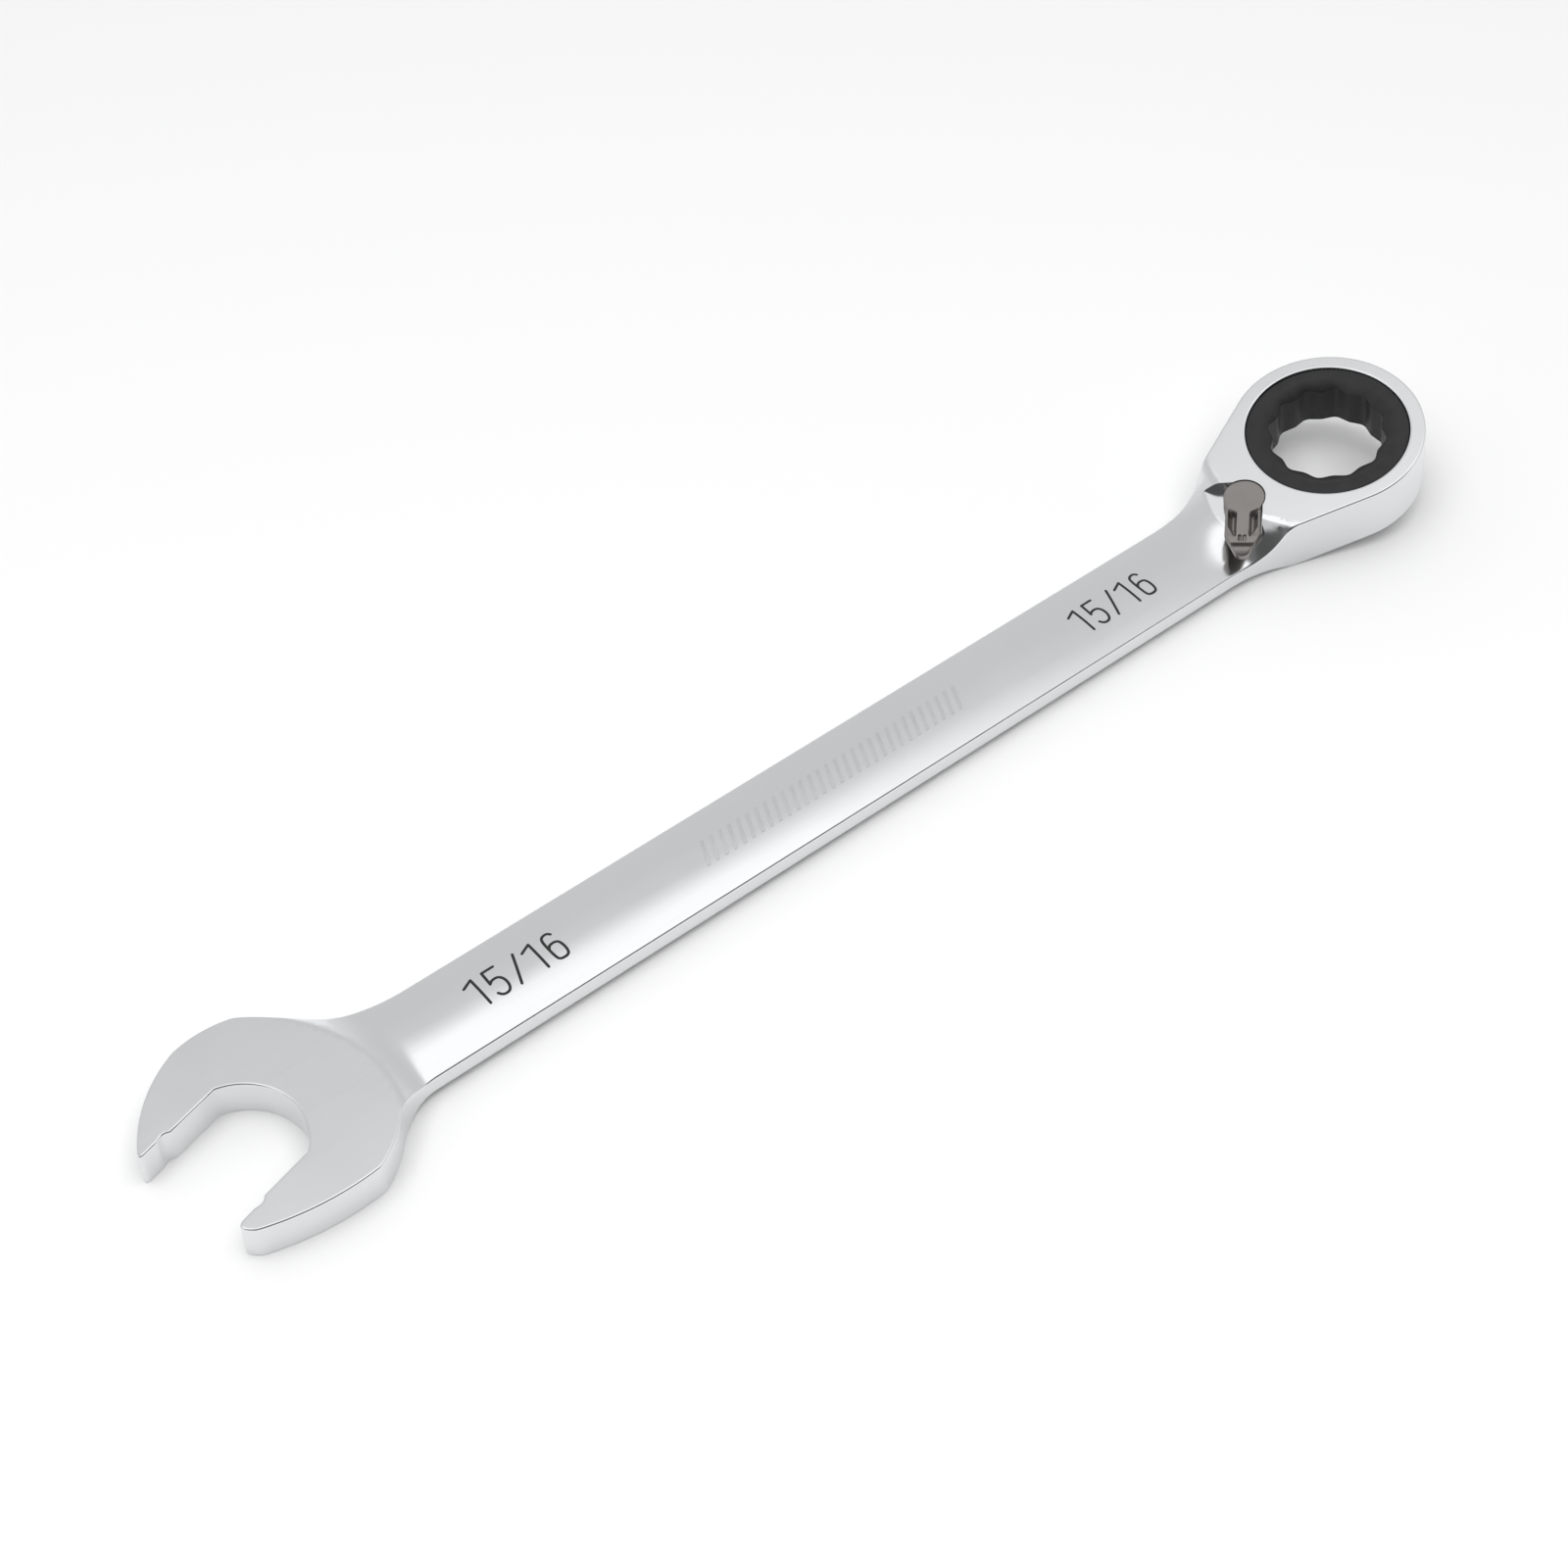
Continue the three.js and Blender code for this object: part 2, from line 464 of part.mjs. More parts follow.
// Everything that is cut out of the housing: the stepped gear bore, the snap ring's groove, the
// pawl's pocket, the lever's recess and stem bore, and the window between stem and pawl.
function housingCuts() {
  const back = -HOUSING_THICKNESS - PAST;
  const snapHigh = -SNAP_TOP_DEPTH + GROOVE_GAP;
  const snapLow = -SNAP_TOP_DEPTH - SNAP_THICKNESS - GROOVE_GAP;
  const groove = SNAP_OUTER_RADIUS + GROOVE_DEPTH_GAP;
  const lip = GEAR_JOURNAL_RADIUS + RUNNING_GAP;
  const bore = turned([[0, back], [MAIN_BORE_RADIUS, back], [MAIN_BORE_RADIUS, snapLow],
    [groove, snapLow], [groove, snapHigh], [MAIN_BORE_RADIUS, snapHigh],
    [MAIN_BORE_RADIUS, -GEAR_LIP_DEPTH], [lip, -GEAR_LIP_DEPTH], [lip, PAST], [0, PAST]],
    TOOTH_COUNT);
  const pocketHalf = degrees(PAWL_HALF_ANGLE + PAWL_SHIFT / 2 + PAWL_END_GAP);
  const pocket = sector(GEAR_JOURNAL_RADIUS, POCKET_RADIUS, pocketHalf, POCKET_BOTTOM, POCKET_TOP, 16);
  const stemFloor = -LEVER_STEM_DEPTH - SIDE_GAP;
  const clipHigh = -CLIP_DEPTH + CLIP_GROOVE_HALF;
  const clipLow = -CLIP_DEPTH - CLIP_GROOVE_HALF;
  const stem = turned([[0, stemFloor], [STEM_BORE_RADIUS, stemFloor], [STEM_BORE_RADIUS, clipLow],
    [CLIP_GROOVE_RADIUS, clipLow], [CLIP_GROOVE_RADIUS, clipHigh], [STEM_BORE_RADIUS, clipHigh],
    [STEM_BORE_RADIUS, -LEVER_THICKNESS], [0, -LEVER_THICKNESS]], SMALL_STEPS);
  const ballAside = BALL_REACH * Math.sin(LEVER_REST) + BALL_RADIUS + SIDE_GAP;
  const ballHalf = BALL_RADIUS + SIDE_GAP;
  const windowDepth = LEVER_AXIS_DISTANCE - PAWL_BACK_RADIUS + PAST;
  const window = new THREE.BoxGeometry(windowDepth, 2 * ballAside, 2 * ballHalf);
  window.translate(windowDepth / 2, 0, -PAWL_MID_DEPTH);
  const aboutLever = toSolid(stem).add(toSolid(window)).add(leverRecess());
  return toSolid(bore).add(toSolid(pocket)).add(aboutLever.translate([-LEVER_AXIS_DISTANCE, 0, 0]));
}

const ringPlacement = new THREE.Matrix4()
  .makeRotationY(-TILT)
  .setPosition(HEAD_TO_RING, 0, RING_HEIGHT);

function inRingFrame(solid) {
  return solid.transform(ringPlacement.toArray());
}

function wrenchBody() {
  const housing = inRingFrame(toSolid(housingGeometry())).subtract(underFloor());
  const blank = headSolid().add(toSolid(shankGeometry())).add(housing);
  return toGeometry(blank.subtract(toSolid(jawCutter())).subtract(inRingFrame(housingCuts())));
}

// ---------------------------------------------------------------- ratchet pieces

function gearTeeth() {
  const outline = [];
  const pitch = (2 * Math.PI) / TOOTH_COUNT;
  const crest = 0.12;
  const root = 0.62;
  for (let i = 0; i < TOOTH_COUNT; i += 1) {
    const middle = i * pitch;
    outline.push(...arc(0, 0, GEAR_TIP_RADIUS, middle - crest * pitch, middle + crest * pitch, 1));
    const valley = middle + pitch / 2;
    const half = ((1 - root) * pitch) / 2;
    outline.push(...arc(0, 0, GEAR_ROOT_RADIUS, valley - half, valley + half, 1));
  }
  return plate(outline, -GEAR_TOOTH_END, -GEAR_TOOTH_START);
}

// Two hexagons a twelfth of a turn apart, with their corners cut back to a circle.
function socketOutline() {
  const points = 12;
  const pitch = (2 * Math.PI) / points;
  const innerRadius = SOCKET_HALF / Math.cos(pitch / 2);
  const cut = pitch - Math.acos(SOCKET_HALF / SOCKET_CORNER_RADIUS);
  const outline = [];
  for (let i = 0; i < points; i += 1) {
    const corner = i * pitch + degrees(SOCKET_TURN);
    outline.push(...arc(0, 0, SOCKET_CORNER_RADIUS, corner - cut, corner + cut, 2));
    outline.push([innerRadius * Math.cos(corner + pitch / 2), innerRadius * Math.sin(corner + pitch / 2)]);
  }
  return outline;
}

function driveGear() {
  const face = -GEAR_FACE_INSET;
  const back = -GEAR_BACK_DEPTH;
  const chamfer = 0.3;
  const rim = turned([[0, back], [GEAR_JOURNAL_RADIUS - chamfer, back],
    [GEAR_JOURNAL_RADIUS, back + chamfer], [GEAR_JOURNAL_RADIUS, face - chamfer],
    [GEAR_JOURNAL_RADIUS - chamfer, face], [0, face]], TOOTH_COUNT);
  const socket = plate(socketOutline(), back - PAST, face + PAST);
  const innerLead = SOCKET_HALF - PAST;
  const slope = GEAR_LEAD_DEPTH / (GEAR_LEAD_RADIUS - SOCKET_CORNER_RADIUS);
  const fallTo = face - slope * (GEAR_LEAD_RADIUS - innerLead);
  const lead = turned([[0, fallTo], [innerLead, fallTo], [GEAR_LEAD_RADIUS, face],
    [GEAR_LEAD_RADIUS, face + PAST], [0, face + PAST]]);
  const backLead = lead.clone().rotateX(Math.PI).translate(0, 0, face + back);
  const blank = toSolid(rim).add(toSolid(gearTeeth()));
  return toGeometry(blank.subtract(toSolid(socket)).subtract(toSolid(lead)).subtract(toSolid(backLead)));
}

function gearSnapRing() {
  const high = -SNAP_TOP_DEPTH;
  return splitRing(SNAP_INNER_RADIUS, SNAP_OUTER_RADIUS, high - SNAP_THICKNESS, high,
    SNAP_OPENING, Math.PI / 2, SMOOTH_STEPS);
}

// The pawl is an arc about the ring's axis, centred on -X, toothed at both ends. The notch in its
// back takes the detent ball.
function pawlGeometry() {
  const low = -PAWL_MID_DEPTH - PAWL_HEIGHT / 2;
  const high = low + PAWL_HEIGHT;
  const inner = [];
  const end = degrees(PAWL_HALF_ANGLE);
  const plain = degrees(PAWL_PLAIN_ANGLE);
  const pitch = degrees(PAWL_TOOTH_PITCH);
  const polar = (radius, angle) => [radius * Math.cos(Math.PI + angle), radius * Math.sin(Math.PI + angle)];
  for (let angle = plain; angle < end - pitch / 4; angle += pitch) {
    inner.push(polar(PAWL_ROOT_RADIUS, angle));
    inner.push(polar(PAWL_TIP_RADIUS, angle + 0.4 * pitch));
    inner.push(polar(PAWL_TIP_RADIUS, angle + 0.6 * pitch));
  }
  inner.push(polar(PAWL_ROOT_RADIUS, end));
  const mirrored = inner.map(([x, y]) => [x, -y]).reverse();
  const back = arc(0, 0, PAWL_BACK_RADIUS, Math.PI + end, Math.PI - end, 24);
  const blank = toSolid(plate([...mirrored, ...inner, ...back].reverse(), low, high));
  const notchGap = BALL_RADIUS + 0.55;
  const notch = disc(notchGap, low - PAST, high + PAST, SMALL_STEPS);
  notch.translate(-(LEVER_AXIS_DISTANCE - BALL_REACH + GROOVE_GAP), 0, 0);
  return toGeometry(blank.subtract(toSolid(notch)));
}

// ---------------------------------------------------------------- reversing lever

// The lever lies along +X from its axis. The ball's hole points the other way.
function reversingLever() {
  const high = -LEVER_HEAD_INSET;
  const low = high - LEVER_THICKNESS;
  const head = disc(LEVER_HEAD_RADIUS, low, high, 48);
  const arm = plate(armOutline(0), low, high);
  const clipHigh = -CLIP_DEPTH + CLIP_GROOVE_HALF;
  const clipLow = -CLIP_DEPTH - CLIP_GROOVE_HALF;
  const groove = CLIP_INNER_RADIUS - GROOVE_GAP;
  const inside = low + LEVER_THICKNESS / 2;
  const stem = turned([[0, -LEVER_STEM_DEPTH], [LEVER_STEM_RADIUS, -LEVER_STEM_DEPTH],
    [LEVER_STEM_RADIUS, clipLow], [groove, clipLow], [groove, clipHigh],
    [LEVER_STEM_RADIUS, clipHigh], [LEVER_STEM_RADIUS, inside], [0, inside]], SMALL_STEPS);
  const hole = disc(BALL_RADIUS + BALL_HOLE_GAP, -SPRING_SEAT, 2 * LEVER_STEM_RADIUS, 20);
  hole.rotateY(-Math.PI / 2).translate(0, 0, -PAWL_MID_DEPTH);
  const blank = toSolid(head).add(toSolid(arm)).add(toSolid(stem));
  return toGeometry(blank.subtract(toSolid(hole)));
}

class Helix extends THREE.Curve {
  constructor(radius, length, turns) {
    super();
    this.radius = radius;
    this.length = length;
    this.turns = turns;
  }

  getPoint(t, target = new THREE.Vector3()) {
    const angle = 2 * Math.PI * this.turns * t;
    return target.set(this.radius * Math.cos(angle), this.radius * Math.sin(angle), this.length * t);
  }
}

// The spring runs along -X from the hole's end to just behind the ball.
function detentSpring() {
  const from = -SPRING_SEAT + SPRING_END_GAP + SPRING_WIRE_RADIUS;
  const to = BALL_REACH - BALL_RADIUS - SPRING_END_GAP - SPRING_WIRE_RADIUS;
  const wire = new THREE.Shape(arc(0, 0, SPRING_WIRE_RADIUS, 0, 2 * Math.PI * (5 / 6), 5)
    .map(([x, y]) => new THREE.Vector2(x, y)));
  const path = new Helix(SPRING_COIL_RADIUS, to - from, SPRING_TURNS);
  const settings = { steps: SPRING_TURNS * 12, extrudePath: path, bevelEnabled: false };
  return new THREE.ExtrudeGeometry(wire, settings).translate(0, 0, from).rotateY(-Math.PI / 2);
}

// ---------------------------------------------------------------- materials

const chrome = new THREE.MeshStandardMaterial({ color: 0xd9dbdc, metalness: 1, roughness: 0.14 });
const blackOxide = new THREE.MeshStandardMaterial({ color: 0x2b2b2c, metalness: 0.7, roughness: 0.45 });
const gunmetal = new THREE.MeshStandardMaterial({ color: 0x6c645f, metalness: 0.9, roughness: 0.34 });
const pawlSteel = new THREE.MeshStandardMaterial({ color: 0x4b4a49, metalness: 0.9, roughness: 0.4 });
const springSteel = new THREE.MeshStandardMaterial({ color: 0x8d8f92, metalness: 1, roughness: 0.3 });
const ballSteel = new THREE.MeshStandardMaterial({ color: 0xb9bcc0, metalness: 1, roughness: 0.1 });

// ---------------------------------------------------------------- assembly

function part(name, geometry, material) {
  const mesh = new THREE.Mesh(geometry, material);
  mesh.name = name;
  return mesh;
}

const wrench = new THREE.Group();
wrench.add(part('wrench_body', wrenchBody(), chrome));

const ring = new THREE.Group();
ring.position.set(HEAD_TO_RING, 0, RING_HEIGHT);
ring.rotation.y = -TILT;
wrench.add(ring);
ring.add(part('drive_gear', driveGear(), blackOxide));
ring.add(part('gear_snap_ring', gearSnapRing(), springSteel));

const pawl = part('pawl', pawlGeometry(), pawlSteel);
pawl.rotation.z = -PAWL_REST;
ring.add(pawl);

const clip = part('lever_snap_ring', splitRing(CLIP_INNER_RADIUS, CLIP_OUTER_RADIUS,
  -CLIP_DEPTH - CLIP_THICKNESS / 2, -CLIP_DEPTH + CLIP_THICKNESS / 2, CLIP_OPENING, 0, 24), springSteel);
clip.position.x = -LEVER_AXIS_DISTANCE;
ring.add(clip);

const lever = new THREE.Group();
lever.position.x = -LEVER_AXIS_DISTANCE;
lever.rotation.z = Math.PI + LEVER_REST;
ring.add(lever);
lever.add(part('reversing_lever', reversingLever(), gunmetal));

const ball = part('detent_ball', new THREE.SphereGeometry(BALL_RADIUS, 20, 12), ballSteel);
ball.position.set(-BALL_REACH, 0, -PAWL_MID_DEPTH);
lever.add(ball);

const spring = part('detent_spring', detentSpring(), springSteel);
spring.position.z = -PAWL_MID_DEPTH;
lever.add(spring);

// The origin is under the middle of the wrench's box, on the floor.
const box = new THREE.Box3().setFromObject(wrench, true);
const centre = box.getCenter(new THREE.Vector3());
wrench.position.set(-centre.x, -centre.y, -box.min.z);

const group = new THREE.Group();
group.add(wrench);

export default group;
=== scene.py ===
"""A reversible ratcheting combination wrench, 15/16 in: an open jaw at one end, and at the other a
tilted ring with a twelve-point ratchet gear and a reversing lever. Lengths are in millimetres until
a mesh is made."""

import json
import math

import bmesh
import bpy
import numpy as np
from mathutils import Matrix, Vector
from mathutils.geometry import delaunay_2d_cdt


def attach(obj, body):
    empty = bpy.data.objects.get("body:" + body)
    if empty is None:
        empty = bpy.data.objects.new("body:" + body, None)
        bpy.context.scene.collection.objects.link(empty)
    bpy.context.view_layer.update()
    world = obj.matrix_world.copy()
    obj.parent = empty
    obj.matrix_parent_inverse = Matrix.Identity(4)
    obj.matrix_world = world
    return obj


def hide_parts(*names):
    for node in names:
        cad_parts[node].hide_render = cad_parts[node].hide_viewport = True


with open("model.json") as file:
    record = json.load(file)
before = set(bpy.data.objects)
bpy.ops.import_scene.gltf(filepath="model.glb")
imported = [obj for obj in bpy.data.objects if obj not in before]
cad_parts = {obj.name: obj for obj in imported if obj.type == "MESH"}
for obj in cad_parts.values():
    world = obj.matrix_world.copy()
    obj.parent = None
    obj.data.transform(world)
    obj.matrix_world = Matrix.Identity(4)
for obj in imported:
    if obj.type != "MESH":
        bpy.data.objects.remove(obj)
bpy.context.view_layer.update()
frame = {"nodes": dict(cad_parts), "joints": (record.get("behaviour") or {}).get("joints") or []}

bl_info = {
    "name": "Ratcheting Combination Wrench",
    "version": (1, 0, 0),
    "blender": (4, 5, 0),
    "location": "View3D > Sidebar > Wrench",
    "description": "Builds a chrome ratcheting combination wrench round its packed frame",
    "category": "Object",
}

MM = 0.001


# ---------------------------------------------------------------- places taken from the frame

def joint_named(name):
    for joint in frame["joints"]:
        if joint["name"] == name:
            return joint
    raise RuntimeError(f"the frame has no joint named {name}")


RING_POINT = Vector(joint_named("gear_spin")["pos_m"]) / MM
RING_AXIS = Vector(joint_named("gear_spin")["axis"]).normalized()
LEVER_POINT = Vector(joint_named("lever_swing")["pos_m"]) / MM
TILT = math.atan2(-RING_AXIS.x, RING_AXIS.z)
LEVER_REST = math.radians(joint_named("lever_swing")["range_deg"][1] / 2)
LEVER_AXIS_DISTANCE = (RING_POINT - LEVER_POINT).length

# ---------------------------------------------------------------- sizes of the forged body

NUT_ACROSS_FLATS = 23.81
HEAD_TO_RING = 290.0
HEAD_THICKNESS = 8.9
HEAD_ROUND = (25.3, -0.6, -0.8)           # radius and centre of the head's round
NEAR_FLANK = (60.0, 3.5, 35.8)            # flatter arc along the near jaw
FAR_FLANK = (34.2, 6.1, -7.9)             # flatter arc along the far jaw
HEAD_SHOULDER = (34.0, -11.3, -5.4)       # arc that ends the head's face over the shank
HEAD_COVE_LENGTH = 6.5
JAW_ANGLE = math.radians(15)
JAW_HALF = (NUT_ACROSS_FLATS + 0.19) / 2
JAW_SEAT = 9.0
JAW_TIP_RELIEF = 0.45
JAW_NOTCH_DEPTH = 0.7
JAW_NOTCH_HALF = 1.6
NUT_CORNER_RADIUS = NUT_ACROSS_FLATS / math.sqrt(3)

SHANK_WIDTH = 21.6
SHANK_OFFSET = -1.0
SHANK_MID_HEIGHT = 4.0
SHANK_EDGE_THICKNESS = 4.05
SHANK_CROWN = 1.3
FAR_HEAD_FILLET = 38.0
NEAR_HEAD_FILLET = 16.0

HOUSING_RADIUS = 22.3
HOUSING_THICKNESS = 14.4
HOUSING_TAPER = math.radians(20)
HOUSING_SHOULDER = 29.6
HOUSING_HEEL = 25.5
HOUSING_COVE_LENGTH = 26.0
HOUSING_SIDE_COVE_LENGTH = 14.0
NECK_FILLET = 60.0

LIP_RADIUS = 18.8
LIP_DEPTH = 2.6
BORE_RADIUS = 19.65
GROOVE_RADIUS = 20.6
GROOVE_DEPTHS = (12.45, 13.65)
RECESS_DEPTH = 2.55
RECESS_GAP = 0.2

HEEL_X = HEAD_TO_RING + HOUSING_THICKNESS * math.sin(TILT) - HOUSING_HEEL * math.cos(TILT)
RING_STATION = HEEL_X + HOUSING_HEEL
LEAN_START = HEEL_X - 30
MIDWAY = HEAD_TO_RING / 2
FAR_LINE = SHANK_WIDTH / 2 + SHANK_OFFSET
NEAR_LINE = SHANK_WIDTH / 2 - SHANK_OFFSET
SHIFT = Vector((RING_POINT.x - HEAD_TO_RING, RING_POINT.y, 0))

RING_FRAME = Matrix.Translation(RING_POINT * MM) @ Matrix.Rotation(-TILT, 4, "Y")
LEVER_FRAME = (Matrix.Translation(LEVER_POINT * MM) @ Matrix.Rotation(-TILT, 4, "Y")
               @ Matrix.Rotation(math.pi + LEVER_REST, 4, "Z"))


# ---------------------------------------------------------------- the body's surface by formula
# A place on the body is its station along the underside, its distance across and its height. The
# underside lies on the floor up to the heel, and then climbs at the ring's tilt.

def lean_at(station):
    part = np.clip((station - LEAN_START) / (HEEL_X - LEAN_START), 0, 1)
    return TILT * part * part * (3 - 2 * part)


def placed(station, across, height):
    """Points in metres, in the frame, for places on the body."""
    beyond = np.maximum(0, station - HEEL_X)
    lean = lean_at(station)
    x = station - beyond * (1 - math.cos(TILT)) - height * np.sin(lean)
    z = beyond * math.sin(TILT) + height * np.cos(lean)
    return np.stack([x + SHIFT.x, across + SHIFT.y, z], axis=-1) * MM


def ring_plane_height(station, depth=0.0):
    """Height of the plane that lies a depth below the ring's face."""
    before = np.maximum(0, HEEL_X - station)
    slope = np.cos(TILT - lean_at(station))
    return (HOUSING_THICKNESS - depth - before * math.sin(TILT)) / slope


def filleted_side(circle, out_sign, line, fillet):
    """How far out a side is that leaves a circle through a hollow fillet and runs on straight."""
    radius, circle_x, circle_y = circle
    out = circle_y * out_sign
    reach = math.sqrt((radius + fillet) ** 2 - (line - out + fillet) ** 2)
    centre_x = circle_x + reach
    tangent_x = circle_x + reach * radius / (radius + fillet)

    def side(x):
        on_circle = out + np.sqrt(np.maximum(0, radius ** 2 - (x - circle_x) ** 2))
        on_fillet = line + fillet - np.sqrt(np.maximum(0, fillet ** 2 - (centre_x - x) ** 2))
        return np.where(x < tangent_x, on_circle, np.where(x < centre_x, on_fillet, line))

    return side, tangent_x


def housing_side(line):
    """How far out a flank is that closes from the housing's circle to the shank's side."""
    slope = math.tan(HOUSING_TAPER)
    crossing = RING_STATION - (HOUSING_RADIUS / math.cos(HOUSING_TAPER) - line) / slope
    reach = NECK_FILLET * math.tan(HOUSING_TAPER / 2)
    start = crossing - reach
    end = crossing + reach * math.cos(HOUSING_TAPER)

    def side(x):
        bent = np.sqrt(np.maximum(0, NECK_FILLET ** 2 - (x - start) ** 2))
        on_flank = HOUSING_RADIUS / math.cos(HOUSING_TAPER) + (x - RING_STATION) * slope
        return np.where(x < start, line, np.where(x < end, line + NECK_FILLET - bent, on_flank))

    return side


far_head_side, FAR_TANGENT = filleted_side(HEAD_SHOULDER, 1, FAR_LINE, FAR_HEAD_FILLET)
near_head_side, NEAR_TANGENT = filleted_side(HEAD_ROUND, -1, NEAR_LINE, NEAR_HEAD_FILLET)
far_ring_side = housing_side(FAR_LINE)
near_ring_side = housing_side(NEAR_LINE)


def far_side(station):
    return np.where(station < MIDWAY, far_head_side(station), far_ring_side(station))


def near_side(station):
    return -np.where(station < MIDWAY, near_head_side(station), near_ring_side(station))


def soft_past(distance, ease):
    """A distance past an arc, nothing inside it, that sets in gently over a width."""
    shifted = distance + ease / 2
    setting_in = np.clip(shifted, 0, ease) ** 2 / (2 * ease)
    return setting_in + np.maximum(shifted - ease, 0)


def cove(distance, length, power):
    return np.maximum(0, 1 - distance / length) ** power


def body_heights(station, across):
    """Top and bottom of the body at a place inside its outline."""
    at_head = station < MIDWAY
    far = far_side(station)
    near = near_side(station)
    spread = np.clip((2 * across - near - far) / np.maximum(far - near, 1), -1, 1)
    half = SHANK_EDGE_THICKNESS / 2 + SHANK_CROWN * (1 - spread ** 2)
    high = SHANK_MID_HEIGHT + half
    low = SHANK_MID_HEIGHT - half
    radius, centre_x, centre_y = HEAD_SHOULDER
    past_head = np.hypot(station - centre_x, across - centre_y) - radius
    past_ring = np.hypot(station - RING_STATION, across) - HOUSING_SHOULDER
    past = np.where(at_head, soft_past(past_head, 0.7), soft_past(past_ring, 2.0))
    ring_cove = HOUSING_COVE_LENGTH + (HOUSING_SIDE_COVE_LENGTH - HOUSING_COVE_LENGTH) * spread ** 2
    face = np.where(at_head, HEAD_THICKNESS, ring_plane_height(station))
    rise = np.where(at_head, cove(past, HEAD_COVE_LENGTH, 2), cove(past, ring_cove, 3))
    fall = cove(past, np.where(at_head, HEAD_COVE_LENGTH, HOUSING_COVE_LENGTH / 2), 2)
    return high + (face - high) * rise, low * (1 - fall)


# ---------------------------------------------------------------- outlines

def arc(centre, radius, start, end, steps):
    angles = np.linspace(start, end, steps + 1)
    return np.stack([centre[0] + radius * np.cos(angles), centre[1] + radius * np.sin(angles)], 1)


def head_reach(angles):
    """Distance from the jaw's centre to the head's edge: the nearest of its arcs."""
    reaches = []
    for radius, x, y in (HEAD_ROUND, NEAR_FLANK, FAR_FLANK, HEAD_SHOULDER):
        along = x * np.cos(angles) + y * np.sin(angles)
        reaches.append(along + np.sqrt(radius ** 2 - (x * x + y * y - along ** 2)))
    return np.min(reaches, axis=0)


def head_rim(start, end, step=0.8):
    angles = np.linspace(start, end, max(2, int(abs(end - start) * HEAD_ROUND[0] / step)))
    reach = head_reach(angles)
    return np.stack([reach * np.cos(angles), reach * np.sin(angles)], 1)


def half_jaw():
    """One side of the jaw from the throat to the tip, as places along and aside."""
    throat_end = math.acos(-math.sqrt(1 - (JAW_HALF / NUT_CORNER_RADIUS) ** 2))
    throat = arc((JAW_SEAT, 0), NUT_CORNER_RADIUS, math.pi, throat_end, 22)
    part = np.linspace(0, 1, 17)
    notch = JAW_SEAT + NUT_CORNER_RADIUS / 2 + JAW_NOTCH_HALF * (2 * part - 1)
    level = JAW_TIP_RELIEF * part + JAW_NOTCH_DEPTH * np.sin(np.pi * part) * (1 - part / 2)
    flat_end = throat[-1]
    flat = np.linspace(flat_end, (notch[0], JAW_HALF), 6)[1:-1]
    return np.concatenate([throat, flat, np.stack([notch, JAW_HALF + level], 1)])


def jaw_turned(places):
    turn = math.pi + JAW_ANGLE
    along, aside = places[:, 0], places[:, 1]
    x = along * math.cos(turn) - aside * math.sin(turn)
    y = along * math.sin(turn) + aside * math.cos(turn)
    return np.stack([x, y], 1)


def jaw_tip(sign):
    """Where a jaw's inner wall leaves the head, found by halving."""
    low, high = JAW_SEAT, HEAD_ROUND[0] + 3
    for _ in range(40):
        middle = (low + high) / 2
        point = jaw_turned(np.array([[middle, sign * (JAW_HALF + JAW_TIP_RELIEF)]]))[0]
        inside = math.hypot(*point) < head_reach(np.array([math.atan2(point[1], point[0])]))[0]
        low, high = (middle, high) if inside else (low, middle)
    return point, low


def eased_corner(points, index, reach, steps=7):
    """Replaces a corner of a closed outline by a curve that starts and ends a reach away."""
    count = len(points)

    def walk(direction):
        left = reach
        here = index
        while True:
            following = (here + direction) % count
            length = np.linalg.norm(points[following] - points[here])
            if length >= left:
                return points[here] + (points[following] - points[here]) * left / length, following
            left -= length
            here = following

    before, last_kept = walk(-1)
    after, first_kept = walk(1)
    corner = points[index]
    curve = []
    for t in np.linspace(0, 1, steps):
        curve.append((1 - t) ** 2 * before + 2 * t * (1 - t) * corner + t ** 2 * after)
    kept = []
    here = first_kept
    while True:
        kept.append(points[here])
        if here == last_kept:
            break
        here = (here + 1) % count
    return np.array(kept + curve)


